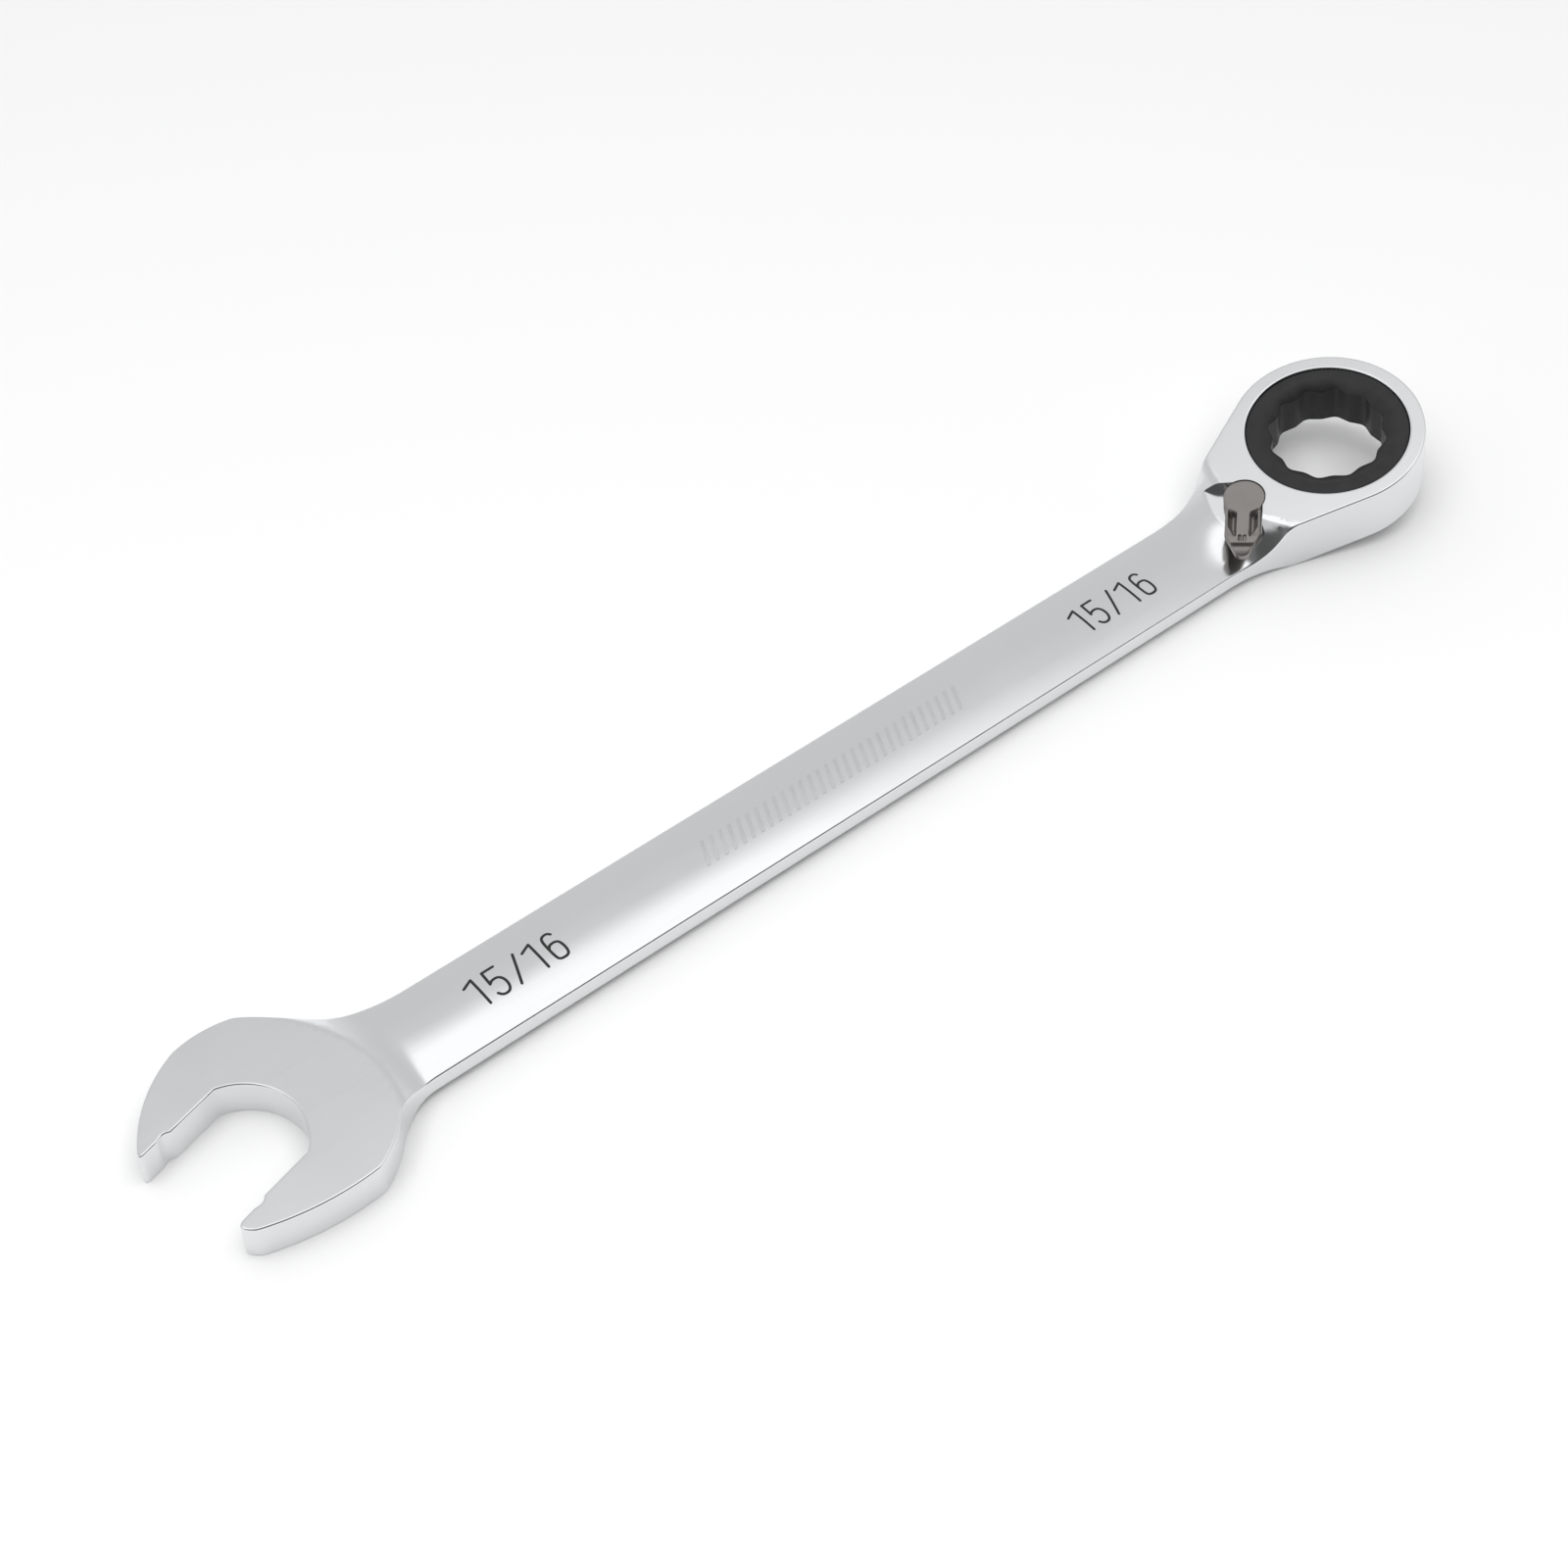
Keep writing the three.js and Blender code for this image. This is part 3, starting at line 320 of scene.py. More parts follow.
def body_outline(tip_round):
    """The whole outline, seen from above, counter-clockwise from the near jaw's tip."""
    near_tip, near_length = jaw_tip(1)
    far_tip, far_length = jaw_tip(-1)
    near_angle = math.atan2(near_tip[1], near_tip[0])
    far_angle = math.atan2(far_tip[1], far_tip[0])
    near_join = math.atan2(near_side(np.float64(NEAR_TANGENT)), NEAR_TANGENT)
    far_join = math.atan2(far_side(np.float64(FAR_TANGENT)), FAR_TANGENT)
    flank_join = RING_STATION - HOUSING_RADIUS * math.sin(HOUSING_TAPER)
    near_stations = np.concatenate([np.arange(NEAR_TANGENT, 50, 0.9), np.arange(50, 215, 2.5),
                                    np.arange(215, flank_join, 0.9)])
    far_stations = np.concatenate([np.arange(FAR_TANGENT, 50, 0.9), np.arange(50, 215, 2.5),
                                   np.arange(215, flank_join, 0.9)])[::-1]
    ring_turn = math.pi / 2 + HOUSING_TAPER
    ring = arc((RING_STATION, 0), HOUSING_RADIUS, -ring_turn, ring_turn, 150)
    half = half_jaw()
    far_half = half * (1, -1)
    reach = np.linspace(half[-1][0], near_length, 10)[1:-1]
    near_run = np.stack([reach, np.full(len(reach), JAW_HALF + JAW_TIP_RELIEF)], 1)
    reach = np.linspace(half[-1][0], far_length, 10)[1:-1]
    far_run = np.stack([reach, np.full(len(reach), -JAW_HALF - JAW_TIP_RELIEF)], 1)
    jaw = np.concatenate([far_run[::-1], far_half[::-1], half[1:], near_run])
    pieces = [
        head_rim(near_angle, near_join)[:-1],
        np.stack([near_stations, near_side(near_stations)], 1),
        ring,
        np.stack([far_stations, far_side(far_stations)], 1),
        head_rim(far_join, far_angle)[1:],
        jaw_turned(jaw),
    ]
    far_corner = sum(len(piece) for piece in pieces[:5]) - 1
    outline = np.concatenate(pieces)
    outline = eased_corner(outline, far_corner, tip_round)
    near_corner = int(np.argmin(np.linalg.norm(outline - near_tip, axis=1)))
    outline = eased_corner(outline, near_corner, 2 * tip_round)
    return without_short_steps(outline)


def without_short_steps(points, shortest=0.08):
    kept = [points[0]]
    for point in points[1:]:
        if np.linalg.norm(point - kept[-1]) > shortest:
            kept.append(point)
    if np.linalg.norm(kept[0] - kept[-1]) < shortest:
        kept.pop()
    return np.array(kept)


def outward(points):
    """Unit normals of a closed counter-clockwise outline, pointing out."""
    ahead = np.roll(points, -1, 0) - points
    ahead /= np.linalg.norm(ahead, axis=1, keepdims=True)
    along = ahead + np.roll(ahead, 1, 0)
    along /= np.maximum(np.linalg.norm(along, axis=1, keepdims=True), 1e-9)
    return np.stack([along[:, 1], -along[:, 0]], 1)


def inside(points, outline):
    """Which points lie inside a closed outline."""
    result = np.zeros(len(points), bool)
    for a, b in zip(outline, np.roll(outline, -1, 0)):
        crosses = (a[1] > points[:, 1]) != (b[1] > points[:, 1])
        if a[1] == b[1]:
            continue
        at = (b[0] - a[0]) * (points[:, 1] - a[1]) / (b[1] - a[1]) + a[0]
        result ^= crosses & (points[:, 0] < at)
    return result


def clear_of(points, lines, gap):
    """Points at least a gap away from every point of the lines."""
    keep = np.ones(len(points), bool)
    for line in lines:
        low = line.min(0) - gap
        high = line.max(0) + gap
        near = np.where(keep & np.all((points > low) & (points < high), axis=1))[0]
        for first in range(0, len(near), 2000):
            some = near[first:first + 2000]
            away = np.linalg.norm(points[some, None] - line[None], axis=2).min(1)
            keep[some] &= away > gap
    return points[keep]


# ---------------------------------------------------------------- the lever's recess

ARM_LENGTH = 16.6
ARM_HALF_WIDTH = 4.1
ARM_TIP_HALF_WIDTH = 2.3
ARM_TAPER_START = 10.5
LEVER_HEAD_RADIUS = 4.7
LEVER_THICKNESS = 2.2


def arm_reach(angles, margin):
    """How far the lever reaches from its axis, in directions measured from the arm."""
    turned = np.abs(angles)
    tip_half = ARM_TIP_HALF_WIDTH + margin
    half = ARM_HALF_WIDTH + margin
    centre = ARM_LENGTH - ARM_TIP_HALF_WIDTH
    corner = math.atan2(half, ARM_TAPER_START)
    slope = (half - tip_half) / (centre - ARM_TAPER_START)
    cosine = np.cos(turned)
    sine = np.maximum(np.sin(turned), 1e-6)
    round_tip = centre * cosine + np.sqrt(np.maximum(tip_half ** 2 - (centre * sine) ** 2, 0))
    tapered = (half + slope * ARM_TAPER_START) / (sine + slope * np.maximum(cosine, 0))
    sides = np.where(turned < corner, tapered, half / sine)
    reach = np.where(centre * sine < tip_half, np.minimum(round_tip, sides), sides)
    reach = np.where(turned < math.pi / 2, reach, 0)
    return np.maximum(reach, LEVER_HEAD_RADIUS + margin)


def recess_reach(angles):
    """Reach of the recess that the lever swings in, in directions measured from the shank."""
    turned = np.abs((angles + math.pi) % (2 * math.pi) - math.pi)
    return arm_reach(np.maximum(0, turned - LEVER_REST), RECESS_GAP)


def ring_to_station():
    """Pairs of distances before the ring's axis and stations, for places in the ring's face."""
    stations = np.linspace(LEAN_START, RING_STATION, 200)
    face = placed(stations, 0 * stations, ring_plane_height(stations, 1.0)) / MM
    away = face - np.array(RING_POINT)
    return away[:, 0] * math.cos(TILT) + away[:, 2] * math.sin(TILT), stations


RING_U, RING_S = ring_to_station()


def recess_loop(shrink, steps=260):
    angles = np.linspace(0, 2 * math.pi, steps, endpoint=False)
    reach = recess_reach(angles) - shrink
    u = -LEVER_AXIS_DISTANCE - reach * np.cos(angles)
    v = reach * np.sin(angles)
    return np.stack([np.interp(u, RING_U, RING_S), v], 1)


def in_recess(points, shrink):
    u = np.interp(points[:, 0], RING_S, RING_U) + LEVER_AXIS_DISTANCE
    reach = np.hypot(u, points[:, 1])
    angles = np.arctan2(points[:, 1], -u)
    return reach < recess_reach(angles) - shrink + 1e-6


# ---------------------------------------------------------------- building meshes

def new_piece(name, vertices, faces, smooth_angle=math.radians(32)):
    mesh = bpy.data.meshes.new(name)
    mesh.from_pydata([tuple(v) for v in vertices], [], [tuple(f) for f in faces])
    mesh.validate()
    piece = bpy.data.objects.new(name, mesh)
    bpy.context.scene.collection.objects.link(piece)
    shade(piece, smooth_angle)
    return piece


def shade(piece, smooth_angle=math.radians(32)):
    mesh = piece.data
    mesh.polygons.foreach_set("use_smooth", [True] * len(mesh.polygons))
    mesh.update()
    mesh.set_sharp_from_angle(angle=smooth_angle)


def point_outwards(piece):
    work = bmesh.new()
    work.from_mesh(piece.data)
    bmesh.ops.remove_doubles(work, verts=work.verts, dist=1e-7)
    bmesh.ops.recalc_face_normals(work, faces=work.faces)
    work.to_mesh(piece.data)
    work.free()


def loops_to_faces(first_indices, count, closed=False):
    """Quads between loops of equal count, given each loop's first vertex."""
    faces = []
    pairs = list(zip(first_indices, first_indices[1:]))
    if closed:
        pairs.append((first_indices[-1], first_indices[0]))
    for a, b in pairs:
        for i in range(count):
            j = (i + 1) % count
            faces.append((a + i, a + j, b + j, b + i))
    return faces


def triangulated(points, edges, keep):
    """Triangles over a set of plan points that hold the given edges."""
    coordinates = [Vector((float(x), float(y))) for x, y in points]
    result = delaunay_2d_cdt(coordinates, edges, [], 0, 1e-5)
    plan = np.array([[v.x, v.y] for v in result[0]])
    triangles = np.array([f for f in result[2] if len(f) == 3])
    triangles = triangles[keep(plan[triangles].mean(1))]
    where = {}
    for new, sources in enumerate(result[3]):
        for source in sources:
            where[source] = new
    return plan, triangles, where


def rounded_steps(radius, segments=4):
    """Inset and drop of each line of a rounded edge, from the face outwards."""
    steps = [(radius + 0.25, 0.0)]
    for k in range(segments + 1):
        turn = math.pi / 2 * k / segments
        steps.append((radius * (1 - math.sin(turn)), radius * (1 - math.cos(turn))))
    return steps


def body_mesh(edge_round, bore_round, tip_round):
    """Vertices in metres and faces of the forged body, without the pockets inside its ring."""
    outline = body_outline(tip_round)
    normals = outward(outline)
    count = len(outline)
    bore_count = 180
    bore = arc((RING_STATION, 0), 1, 0, 2 * math.pi, bore_count)[:-1]
    bore_unit = bore - (RING_STATION, 0)
    edge = rounded_steps(edge_round)
    lip = rounded_steps(bore_round)
    rim = outline - normals * edge[0][0]
    mouth = (RING_STATION, 0) + bore_unit * (LIP_RADIUS + lip[0][0])

    lines = [rim, mouth]
    edges = [(i, (i + 1) % count) for i in range(count)]
    edges += [(count + i, count + (i + 1) % bore_count) for i in range(bore_count)]

    def add_line(points, closed):
        usable = inside(points, outline - normals * (edge[0][0] + 0.3))
        start = sum(len(line) for line in lines)
        kept = np.where(usable)[0]
        position = {int(k): start + n for n, k in enumerate(kept)}
        last = len(points) if closed else len(points) - 1
        for k in range(last):
            following = (k + 1) % len(points)
            if k in position and following in position:
                edges.append((position[k], position[following]))
        lines.append(points[kept])

    radius, centre_x, centre_y = HEAD_SHOULDER
    for off in (-0.35, 0.35, 1.4):
        add_line(arc((centre_x, centre_y), radius + off, -0.6, 0.85, 60), False)
    for off in (-1.0, 1.0):
        add_line(arc((RING_STATION, 0), HOUSING_SHOULDER + off, math.pi - 0.8, math.pi + 0.8, 50),
                 False)
    for shrink in (0.0, 0.12):
        loop = recess_loop(shrink)
        heights, _ = body_heights(loop[:, 0], loop[:, 1])
        deep = heights > ring_plane_height(loop[:, 0], RECESS_DEPTH) + 0.02
        runs = np.split(np.arange(len(loop)), np.where(~deep)[0])
        for run in runs:
            if len(run) > 3:
                add_line(loop[run[1:]], False)

    spacing = 1.15
    rows = np.arange(-27, 27, spacing * math.sqrt(3) / 2)
    grid = []
    for k, y in enumerate(rows):
        xs = np.arange(-27, RING_STATION + 24, spacing) + (spacing / 2 if k % 2 else 0)
        grid.append(np.stack([xs, np.full(len(xs), y)], 1))
    grid = np.concatenate(grid)
    near_recess = in_recess(grid, -0.6)
    grid = grid[~near_recess]
    fine = np.mgrid[RING_STATION - 48:RING_STATION - 20:0.42, -17:17:0.42].reshape(2, -1).T
    fine = fine[in_recess(fine, -0.6)]
    grid = np.concatenate([grid, fine])
    from_ring = np.hypot(grid[:, 0] - RING_STATION, grid[:, 1])
    off_the_edge = inside(grid, outline - normals * (edge[0][0] + 0.25))
    grid = grid[off_the_edge & (from_ring > BORE_RADIUS + 0.9)]
    grid = clear_of(grid, lines, 0.3)
    grid = clear_of(grid, [rim, mouth], 0.55)

    def in_body(centres):
        away = np.hypot(centres[:, 0] - RING_STATION, centres[:, 1])
        return inside(centres, rim) & (away > LIP_RADIUS + lip[0][0] - 0.004)

    plan, triangles, where = triangulated(np.concatenate(lines + [grid]), edges, in_body)
    rim_ids = [where[i] for i in range(count)]
    mouth_ids = [where[count + i] for i in range(bore_count)]

    top, bottom = body_heights(plan[:, 0], plan[:, 1])
    floor = ring_plane_height(plan[:, 0], RECESS_DEPTH)
    sunk = in_recess(plan, 0.11)
    top = np.where(sunk, np.minimum(top, floor), top)
    under = plan.copy()
    away = np.hypot(plan[:, 0] - RING_STATION, plan[:, 1])
    at_mouth = away < LIP_RADIUS + lip[0][0] + 0.01
    wider = BORE_RADIUS + lip[0][0]
    from_axis = (plan[at_mouth] - (RING_STATION, 0)) / away[at_mouth, None]
    under[at_mouth] = (RING_STATION, 0) + from_axis * wider

    vertices = [placed(plan[:, 0], plan[:, 1], top), placed(under[:, 0], under[:, 1], bottom)]
    faces = [tuple(t) for t in triangles]
    faces += [tuple(t[::-1] + len(plan)) for t in triangles]
    total = 2 * len(plan)

    def add_loop(points, heights):
        nonlocal total
        vertices.append(placed(points[:, 0], points[:, 1], heights))
        total += len(points)
        return total - len(points)

    def join(a, b, flip):
        size = len(a)
        for i in range(size):
            j = (i + 1) % size
            quad = (a[i], b[i], b[j], a[j])
            faces.append(quad[::-1] if flip else quad)

    def ids(first, size):
        return list(range(first, first + size))

    rings = [rim_ids]
    for inset, drop in edge[1:]:
        line = outline - normals * inset
        height, _ = body_heights(line[:, 0], line[:, 1])
        rings.append(ids(add_loop(line, height - drop), count))
    hold = 0.25
    high, low = body_heights(outline[:, 0], outline[:, 1])
    rings.append(ids(add_loop(outline, high - edge_round - hold), count))
    rings.append(ids(add_loop(outline, low + edge_round + hold), count))
    for inset, drop in edge[:0:-1]:
        line = outline - normals * inset
        _, height = body_heights(line[:, 0], line[:, 1])
        rings.append(ids(add_loop(line, height + drop), count))
    rings.append([i + len(plan) for i in rim_ids])
    for a, b in zip(rings, rings[1:]):
        join(a, b, False)

    face = HOUSING_THICKNESS
    steps = [(LIP_RADIUS + inset, face - drop) for inset, drop in lip[1:]]
    steps += [(LIP_RADIUS, face - LIP_DEPTH), (BORE_RADIUS, face - LIP_DEPTH)]
    steps += [(BORE_RADIUS, face - GROOVE_DEPTHS[0]), (GROOVE_RADIUS, face - GROOVE_DEPTHS[0])]
    steps += [(GROOVE_RADIUS, face - GROOVE_DEPTHS[1]), (BORE_RADIUS, face - GROOVE_DEPTHS[1])]
    steps += [(BORE_RADIUS + inset, drop) for inset, drop in lip[:0:-1]]
    rings = [mouth_ids]
    for radius, height in steps:
        points = (RING_STATION, 0) + bore_unit * radius
        rings.append(ids(add_loop(points, np.full(bore_count, height)), bore_count))
    rings.append([i + len(plan) for i in mouth_ids])
    for a, b in zip(rings, rings[1:]):
        join(a, b, True)
    return np.concatenate(vertices), faces


def add_body_pockets(piece):
    """Cuts the pawl's pocket, the lever's stem bore and the window between them out of the ring.
    The solver needs a closed body. This one still has open edges at the far jaw's tip, so the
    solver refuses the cuts and the ring stays solid inside."""
    tools = []
    for name, shape in (("pocket_tool", pocket_shape()), ("stem_tool", stem_bore_shape()),
                        ("window_tool", window_shape())):
        tool = new_piece(name, *shape)
        tool.data.transform(RING_FRAME)
        point_outwards(tool)
        tools.append(tool)
    cut(piece, tools)


def cut(piece, tools):
    """Takes the tools away from the piece, and then removes them."""
    for tool in tools:
        modifier = piece.modifiers.new("cut", "BOOLEAN")
        modifier.operation = "DIFFERENCE"
        modifier.solver = "MANIFOLD"
        modifier.object = tool
    bake_modifiers(piece)
    for tool in tools:
        bpy.data.objects.remove(tool)


def bake_modifiers(piece):
    """Puts the result of a piece's modifiers into its own mesh."""
    bpy.context.view_layer.update()
    shown = piece.evaluated_get(bpy.context.evaluated_depsgraph_get())
    result = bpy.data.meshes.new_from_object(shown)
    piece.modifiers.clear()
    old = piece.data
    piece.data = result
    bpy.data.meshes.remove(old)


def lathe(profile, steps):
    """A closed solid turned about Z from a closed profile of radius and height pairs."""
    vertices = []
    angles = np.linspace(0, 2 * math.pi, steps, endpoint=False)
    for radius, height in profile:
        x, y = radius * np.cos(angles), radius * np.sin(angles)
        vertices.append(np.stack([x, y, np.full(steps, height)], 1) * MM)
    faces = loops_to_faces([k * steps for k in range(len(profile))], steps)
    count = len(vertices) * steps
    faces.append(tuple(range(steps))[::-1])
    faces.append(tuple(range(count - steps, count)))
    return np.concatenate(vertices), faces


def prism(outline, low, high):
    """A straight-sided solid from an outline of pairs, between two heights."""
    size = len(outline)
    points = np.array(outline, float)
    lower = np.column_stack([points, np.full(size, low)])
    upper = np.column_stack([points, np.full(size, high)])
    faces = loops_to_faces([0, size], size)
    faces.append(tuple(range(size))[::-1])
    faces.append(tuple(range(size, 2 * size)))
    return np.concatenate([lower, upper]) * MM, faces


# ---------------------------------------------------------------- pockets inside the ring

PAWL_MID_DEPTH = 7.05
POCKET_HALF_HEIGHT = 3.3
POCKET_RADIUS = 23.4
POCKET_HALF_ANGLE = math.radians(30.5)
STEM_RADIUS = 3.2
STEM_BORE_RADIUS = 3.4
STEM_DEPTH = 11.6
CLIP_DEPTHS = (10.5, 11.3)
CLIP_GROOVE_RADIUS = 4.05
WINDOW_HALF_WIDTH = 3.9
WINDOW_HALF_HEIGHT = 1.5


def pocket_shape():
    start, end = math.pi - POCKET_HALF_ANGLE, math.pi + POCKET_HALF_ANGLE
    outer = arc((0, 0), POCKET_RADIUS, start, end, 40)
    inner = arc((0, 0), LIP_RADIUS, end, start, 30)
    return prism(np.concatenate([outer, inner]), -PAWL_MID_DEPTH - POCKET_HALF_HEIGHT,
                 -PAWL_MID_DEPTH + POCKET_HALF_HEIGHT)


def stem_bore_shape():
    upper, lower = CLIP_DEPTHS
    profile = [(STEM_BORE_RADIUS, -STEM_DEPTH - 0.3), (STEM_BORE_RADIUS, -lower),
               (CLIP_GROOVE_RADIUS, -lower), (CLIP_GROOVE_RADIUS, -upper),
               (STEM_BORE_RADIUS, -upper), (STEM_BORE_RADIUS, -LEVER_THICKNESS)]
    vertices, faces = lathe(profile, 48)
    return vertices - np.array([LEVER_AXIS_DISTANCE, 0, 0]) * MM, faces


def window_shape():
    half = WINDOW_HALF_WIDTH
    outline = [(-LEVER_AXIS_DISTANCE, -half), (-POCKET_RADIUS + 1, -half),
               (-POCKET_RADIUS + 1, half), (-LEVER_AXIS_DISTANCE, half)]
    return prism(outline, -PAWL_MID_DEPTH - WINDOW_HALF_HEIGHT,
                 -PAWL_MID_DEPTH + WINDOW_HALF_HEIGHT)


# ---------------------------------------------------------------- ratchet gear

SOCKET_HALF = (NUT_ACROSS_FLATS + 0.15) / 2
SOCKET_CORNER_RADIUS = 13.53
SOCKET_TURN = math.radians(5)
GEAR_RADIUS = 18.65
GEAR_FACE = 0.25
GEAR_BACK = 12.3
GEAR_TEETH_FROM = 2.9
GEAR_TEETH_TO = 11.2
GEAR_LEAD_RADIUS = 15.6
GEAR_LEAD_DEPTH = 0.75
TOOTH_HEIGHT = 0.6


def socket_radius(angles):
    """The twelve-point socket: flats of two hexagons, with soft ridges and round corners."""
    pitch = math.radians(30)
    off = np.abs((angles - SOCKET_TURN + pitch / 2) % pitch - pitch / 2)
    from_ridge = np.sqrt((pitch / 2 - off) ** 2 + math.radians(2.2) ** 2)
    flat = SOCKET_HALF / np.cos(pitch / 2 + from_ridge)
    soft = 0.1
    return -soft * np.log(np.exp(-flat / soft) + np.exp(-SOCKET_CORNER_RADIUS / soft))


def gear_shape(steps=432):
    angles = np.linspace(0, 2 * math.pi, steps, endpoint=False)
    inner = socket_radius(angles)
    slope = GEAR_LEAD_DEPTH / (GEAR_LEAD_RADIUS - SOCKET_CORNER_RADIUS)
    even = np.ones(steps)
    lead = slope * (GEAR_LEAD_RADIUS - inner)
    lead_near = slope * (GEAR_LEAD_RADIUS - inner - 0.14)
    soft = 0.12
    root = GEAR_RADIUS + 0.1
    rings = [
        (even * (GEAR_LEAD_RADIUS + soft), even * -GEAR_FACE),
        (even * (GEAR_RADIUS - 0.5), even * -GEAR_FACE),
        (even * (GEAR_RADIUS - 0.3), even * -(GEAR_FACE + 0.02)),
        (even * (GEAR_RADIUS - 0.09), even * -(GEAR_FACE + 0.1)),
        (even * GEAR_RADIUS, even * -(GEAR_FACE + 0.3)),
        (even * GEAR_RADIUS, even * -GEAR_TEETH_FROM),
        (even * root, even * -GEAR_TEETH_FROM),
        (even * root, even * -GEAR_TEETH_TO),
        (even * GEAR_RADIUS, even * -GEAR_TEETH_TO),
        (even * GEAR_RADIUS, even * -(GEAR_BACK - 0.3)),
        (even * (GEAR_RADIUS - 0.3), even * -GEAR_BACK),
        (even * (GEAR_LEAD_RADIUS + soft), even * -GEAR_BACK),
        (even * (GEAR_LEAD_RADIUS - soft), -GEAR_BACK + slope * soft * even),
        (inner + 0.14, -GEAR_BACK + lead_near),
        (inner, -GEAR_BACK + lead + 0.12),
        (inner, -GEAR_BACK + lead + 0.4),
        (inner, -GEAR_FACE - lead - 0.4),
        (inner, -GEAR_FACE - lead - 0.12),
        (inner + 0.14, -GEAR_FACE - lead_near),
        (even * (GEAR_LEAD_RADIUS - soft), -GEAR_FACE - slope * soft * even),
    ]
    vertices = []
    for radius, height in rings:
        x, y = radius * np.cos(angles), radius * np.sin(angles)
        vertices.append(np.stack([x, y, height], 1) * MM)
    faces = loops_to_faces([k * steps for k in range(len(rings))], steps, closed=True)
    return np.concatenate(vertices), faces


def tooth_shape(count):
    """One ratchet tooth, a short prism on the gear's rim that points along X."""
    pitch = 2 * math.pi / count
    root = GEAR_RADIUS + 0.02
    tip = GEAR_RADIUS + 0.1 + TOOTH_HEIGHT
    outline = []
    for radius, share in ((root, -0.32), (tip - 0.06, -0.14), (tip, -0.1), (tip, 0.1),
                          (tip - 0.06, 0.14), (root, 0.32)):
        outline.append((radius * math.cos(share * pitch), radius * math.sin(share * pitch)))
    return prism(outline, -GEAR_TEETH_TO, -GEAR_TEETH_FROM)


# ---------------------------------------------------------------- geometry nodes

def repeated_copies_tree():
    """Copies of the incoming shape, each one moved and turned on from the one before."""
    tree = bpy.data.node_groups.new("repeated_copies", "GeometryNodeTree")
    face = tree.interface
    face.new_socket("Geometry", in_out="INPUT", socket_type="NodeSocketGeometry")
    face.new_socket("Count", in_out="INPUT", socket_type="NodeSocketInt")
    face.new_socket("Step", in_out="INPUT", socket_type="NodeSocketVector")
    face.new_socket("Turn", in_out="INPUT", socket_type="NodeSocketFloat")
    face.new_socket("Material", in_out="INPUT", socket_type="NodeSocketMaterial")
    face.new_socket("Geometry", in_out="OUTPUT", socket_type="NodeSocketGeometry")
    nodes, links = tree.nodes, tree.links
    given = nodes.new("NodeGroupInput")
    result = nodes.new("NodeGroupOutput")
    points = nodes.new("GeometryNodeMeshLine")
    copies = nodes.new("GeometryNodeInstanceOnPoints")
    index = nodes.new("GeometryNodeInputIndex")
    turn = nodes.new("ShaderNodeMath")
    turn.operation = "MULTIPLY"
    about_z = nodes.new("ShaderNodeCombineXYZ")
    real = nodes.new("GeometryNodeRealizeInstances")
    finish = nodes.new("GeometryNodeSetMaterial")
    links.new(given.outputs["Count"], points.inputs["Count"])
    links.new(given.outputs["Step"], points.inputs["Offset"])
    links.new(points.outputs["Mesh"], copies.inputs["Points"])
    links.new(given.outputs["Geometry"], copies.inputs["Instance"])
    links.new(index.outputs[0], turn.inputs[0])
    links.new(given.outputs["Turn"], turn.inputs[1])
    links.new(turn.outputs[0], about_z.inputs["Z"])
    links.new(about_z.outputs[0], copies.inputs["Rotation"])
    links.new(copies.outputs[0], real.inputs[0])
    links.new(real.outputs[0], finish.inputs["Geometry"])
    links.new(given.outputs["Material"], finish.inputs["Material"])
    links.new(finish.outputs[0], result.inputs["Geometry"])
    return tree


def repeated(piece, count, step, turn, material):
    """Turns a piece into evenly spaced copies of itself, as one plain mesh."""
    tree = bpy.data.node_groups.get("repeated_copies") or repeated_copies_tree()
    modifier = piece.modifiers.new("copies", "NODES")
    modifier.node_group = tree
    values = {"Count": count, "Step": step, "Turn": turn, "Material": material}
    for item in tree.interface.items_tree:
        if item.in_out == "INPUT" and item.name in values:
            modifier[item.identifier] = values[item.name]
    bake_modifiers(piece)


def joined(name, pieces):
    """One object made of several closed shells."""
    work = bmesh.new()
    for piece in pieces:
        work.from_mesh(piece.data)
        bpy.data.objects.remove(piece)
    mesh = bpy.data.meshes.new(name)
    work.to_mesh(mesh)
    work.free()
    result = bpy.data.objects.new(name, mesh)
    bpy.context.scene.collection.objects.link(result)
    return result


# ---------------------------------------------------------------- reversing lever

LEVER_FACE = 0.05
BALL_HOLE_RADIUS = 1.35
BALL_HOLE_REACH = (-1.6, 4.5)             # from the stem's axis, towards its back and the pawl
RIB_HALF_WIDTH = 1.45
SCOOP_WIDTH = 1.95
SCOOP_DEPTH = 1.45
SCOOP_END = 11.6


def smooth_step(low, high, value):
    part = np.clip((value - low) / (high - low), 0, 1)
    return part * part * (3 - 2 * part)


